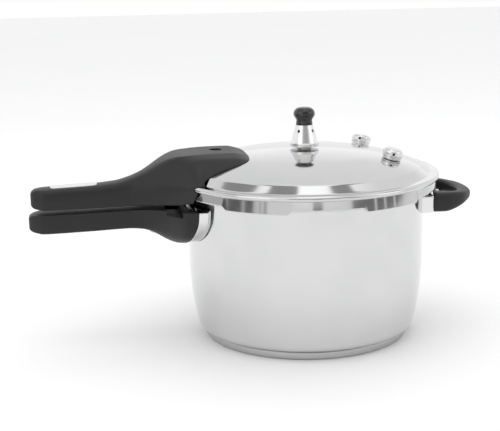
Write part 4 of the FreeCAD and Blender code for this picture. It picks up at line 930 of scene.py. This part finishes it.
KEPT = {
    "base_core": base_metal, "gasket": seal_grey, "lower_handle_bracket": bracket_steel,
    "lower_handle_screw": bracket_steel, "helper_bracket": bracket_steel, "helper_handle_screw": valve_steel,
    "lid_bracket": bracket_steel, "lever_pin": bracket_steel, "lock_lever": bracket_steel,
    "lock_bolt": bracket_steel, "upper_handle_screw": bracket_steel, "float_bush": valve_brass,
    "float_pin": weight_steel, "float_washer": seal_grey, "float_nut": valve_brass, "vent_pipe": valve_brass,
    "vent_washer": seal_grey, "vent_nut": valve_brass,
}
for label in VALVES:
    for part, paint in (("plunger", valve_brass), ("spring", bracket_steel), ("washer", seal_grey),
                        ("nut", valve_brass)):
        KEPT["safety_valve_%s_%s" % (label, part)] = paint
for node, paint in KEPT.items():
    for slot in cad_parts[node].material_slots:
        slot.link = "OBJECT"
        slot.material = paint

# ---------------------------------------------------------------- floor, light and camera

scene = bpy.context.scene
floor_at = [(x * 6000 * MM, y * 6000 * MM, -0.2 * MM) for x, y in ((-1, -1), (1, -1), (1, 1), (-1, 1))]
floor_mesh = bpy.data.meshes.new("floor")
floor_mesh.from_pydata(floor_at, [], [(0, 1, 2, 3)])
floor = bpy.data.objects.new("floor", floor_mesh)
scene.collection.objects.link(floor)
sweep = Paint("sweep", Roughness=0.9, Specular_IOR_Level=0.0)
sweep.feed("Base Color", sweep.tint(sweep.noise(2.0), (0.93, 0.93, 0.935), (0.96, 0.96, 0.96)))
floor_mesh.materials.append(sweep.material)

world = bpy.data.worlds.new("studio")
scene.world = world
world.use_nodes = True
world.node_tree.nodes.clear()
TURN = math.radians(12.2)


def studio(sky):
    """The studio round the object: a pale shell that brightens overhead, with what stands in it near the
    horizon (stands, gaps between screens), a grey screen over them in front, and dark gaps between the
    lamps above. Every area is a window in two of these: the bearing from the front and the height over the
    horizon, in degrees, and how far the direction points forth and aside."""
    x, y, z = sky.split(sky.node("ShaderNodeTexCoord", output="Generated"))
    front, side = (math.sin(TURN), math.cos(TURN)), (math.cos(TURN), -math.sin(TURN))
    forth, aside = x * -front[0] - y * front[1], x * side[0] + y * side[1]
    bearing = aside.maths("ARCTAN2", aside, forth) * math.degrees(1)
    rise = z.maths("ARCSINE", z) * math.degrees(1)

    def window(wire, low, high, soft):
        return sky.between(wire, low - soft, low + soft) * (1 - sky.between(wire, high - soft, high + soft))

    shell = 1.18 - 0.20 * sky.between(rise, 8, 26) + 0.62 * sky.between(rise, 50, 84)
    cloud = sky.node("ShaderNodeTexNoise", {}, {"Scale": 9.0, "Detail": 3.0})
    level = 0.56 + 0.34 * window(bearing, -45, 40, 3) + 0.10 * (cloud - 0.5) * window(bearing, -45, 10, 3)
    level = level + 0.45 * (sky.between(bearing, 98, 112) + 1 - sky.between(bearing, -112, -98))
    for low, high, grey, soft in STANDS:
        level = level + (grey - level) * window(bearing, low, high, soft)
    low_zone = window(rise, -6, 8.5, 0.8)
    steep = z + 0.42 * aside.maths("ABSOLUTE", aside)
    across = sum(window(aside, *gap) for gap in GAPS)
    gaps = sky.between(steep, 0.945, 0.965) * sky.between(forth, 0.02, -0.03) * across
    glow = shell + (level - shell) * low_zone
    glow = glow + (0.36 - glow) * gaps
    glow = glow + (0.42 - glow) * window(bearing, -14, 46, 3) * window(rise, 13, 40, 2)
    seen = sky.node("ShaderNodeBackground", {}, {"Color": (1, 1, 1, 1), "Strength": 1.0})
    lit = sky.node("ShaderNodeBackground", {}, {"Color": (1, 1, 1, 1), "Strength": glow})
    straight = sky.node("ShaderNodeLightPath", output="Is Camera Ray")
    either = sky.node("ShaderNodeMixShader", {}, {0: straight, 1: lit, 2: seen})
    sky.node("ShaderNodeOutputWorld", {}, {0: either})


# gaps between the lamps overhead: sideways direction from and to, softness of the edges
GAPS = [(-0.60, -0.349, 0.01), (-0.262, -0.05, 0.01), (0.195, 0.34, 0.01), (0.56, 0.8, 0.02)]
# stands near the horizon: bearing from and to, brightness, softness of the edges
STANDS = [(-69, -55, 0.10, 0.5), (-52, -44, 0.12, 0.5), (-43, -41, 0.62, 0.3), (-39, -37, 0.40, 0.3),
          (-35, -32, 0.45, 0.4), (7, 15, 0.22, 0.8), (41, 93, 0.20, 0.8), (61.5, 63.5, 0.75, 0.3),
          (71, 73, 0.70, 0.3), (81.5, 83.2, 0.80, 0.3), (84, 86, 0.05, 0.3)]
studio(Nodes(world.node_tree))


def panel(name, at, aim, width, height, power):
    """A soft rectangular lamp at a place, turned to face another."""
    lamp = bpy.data.lights.new(name, "AREA")
    lamp.shape = "RECTANGLE"
    lamp.size, lamp.size_y, lamp.energy = width, height, power
    holder = bpy.data.objects.new(name, lamp)
    holder.location = at
    holder.rotation_euler = (Vector(aim) - Vector(at)).to_track_quat("-Z", "Y").to_euler()
    scene.collection.objects.link(holder)
    return holder


panel("overhead", (0.0, 0.25, 1.6), (0, 0, 0.1), 1.8, 1.4, 5).visible_glossy = False
panel("left_softbox", (-1.3, -0.9, 0.9), (0, 0, 0.1), 0.9, 1.2, 2.0)
panel("right_softbox", (1.4, -0.7, 0.8), (0, 0, 0.1), 0.8, 1.2, 1.5)

DISTANCE, HEIGHT = 1.0863, 0.3527
PITCH, YAW, ROLL = math.radians(12.58), math.radians(-2.724), math.radians(-0.941)
LENS_PIXELS, WIDTH_PIXELS, SENSOR = 1179.7, 500.0, 36.0


def camera_axes():
    """Camera axes: looking +Y with a small yaw, pitch and roll, then the whole stand
    walked round the pot by TURN towards the long handles."""
    ahead = Vector((math.sin(YAW) * math.cos(PITCH), math.cos(YAW) * math.cos(PITCH), -math.sin(PITCH)))
    right = ahead.cross(Vector((0, 0, 1))).normalized()
    up = right.cross(ahead)
    right, up = (math.cos(ROLL) * right + math.sin(ROLL) * up, math.cos(ROLL) * up - math.sin(ROLL) * right)
    c, s = math.cos(TURN), math.sin(TURN)

    def walk(v):
        return Vector((v.x * c + v.y * s, v.y * c - v.x * s, v.z))

    return walk(right), walk(up), walk(ahead), walk(Vector((0, -DISTANCE, HEIGHT)))


right, up, ahead, stand = camera_axes()
view = bpy.data.cameras.new("camera")
view.sensor_width = SENSOR
view.lens = LENS_PIXELS * SENSOR / WIDTH_PIXELS
view.clip_start, view.clip_end = 0.01, 50
camera = bpy.data.objects.new("camera", view)
scene.collection.objects.link(camera)
matrix = camera.matrix_world.copy()
for row in range(3):
    matrix[row][:] = right[row], up[row], -ahead[row], stand[row]
camera.matrix_world = matrix
scene.camera = camera
scene.view_settings.view_transform = "Standard"
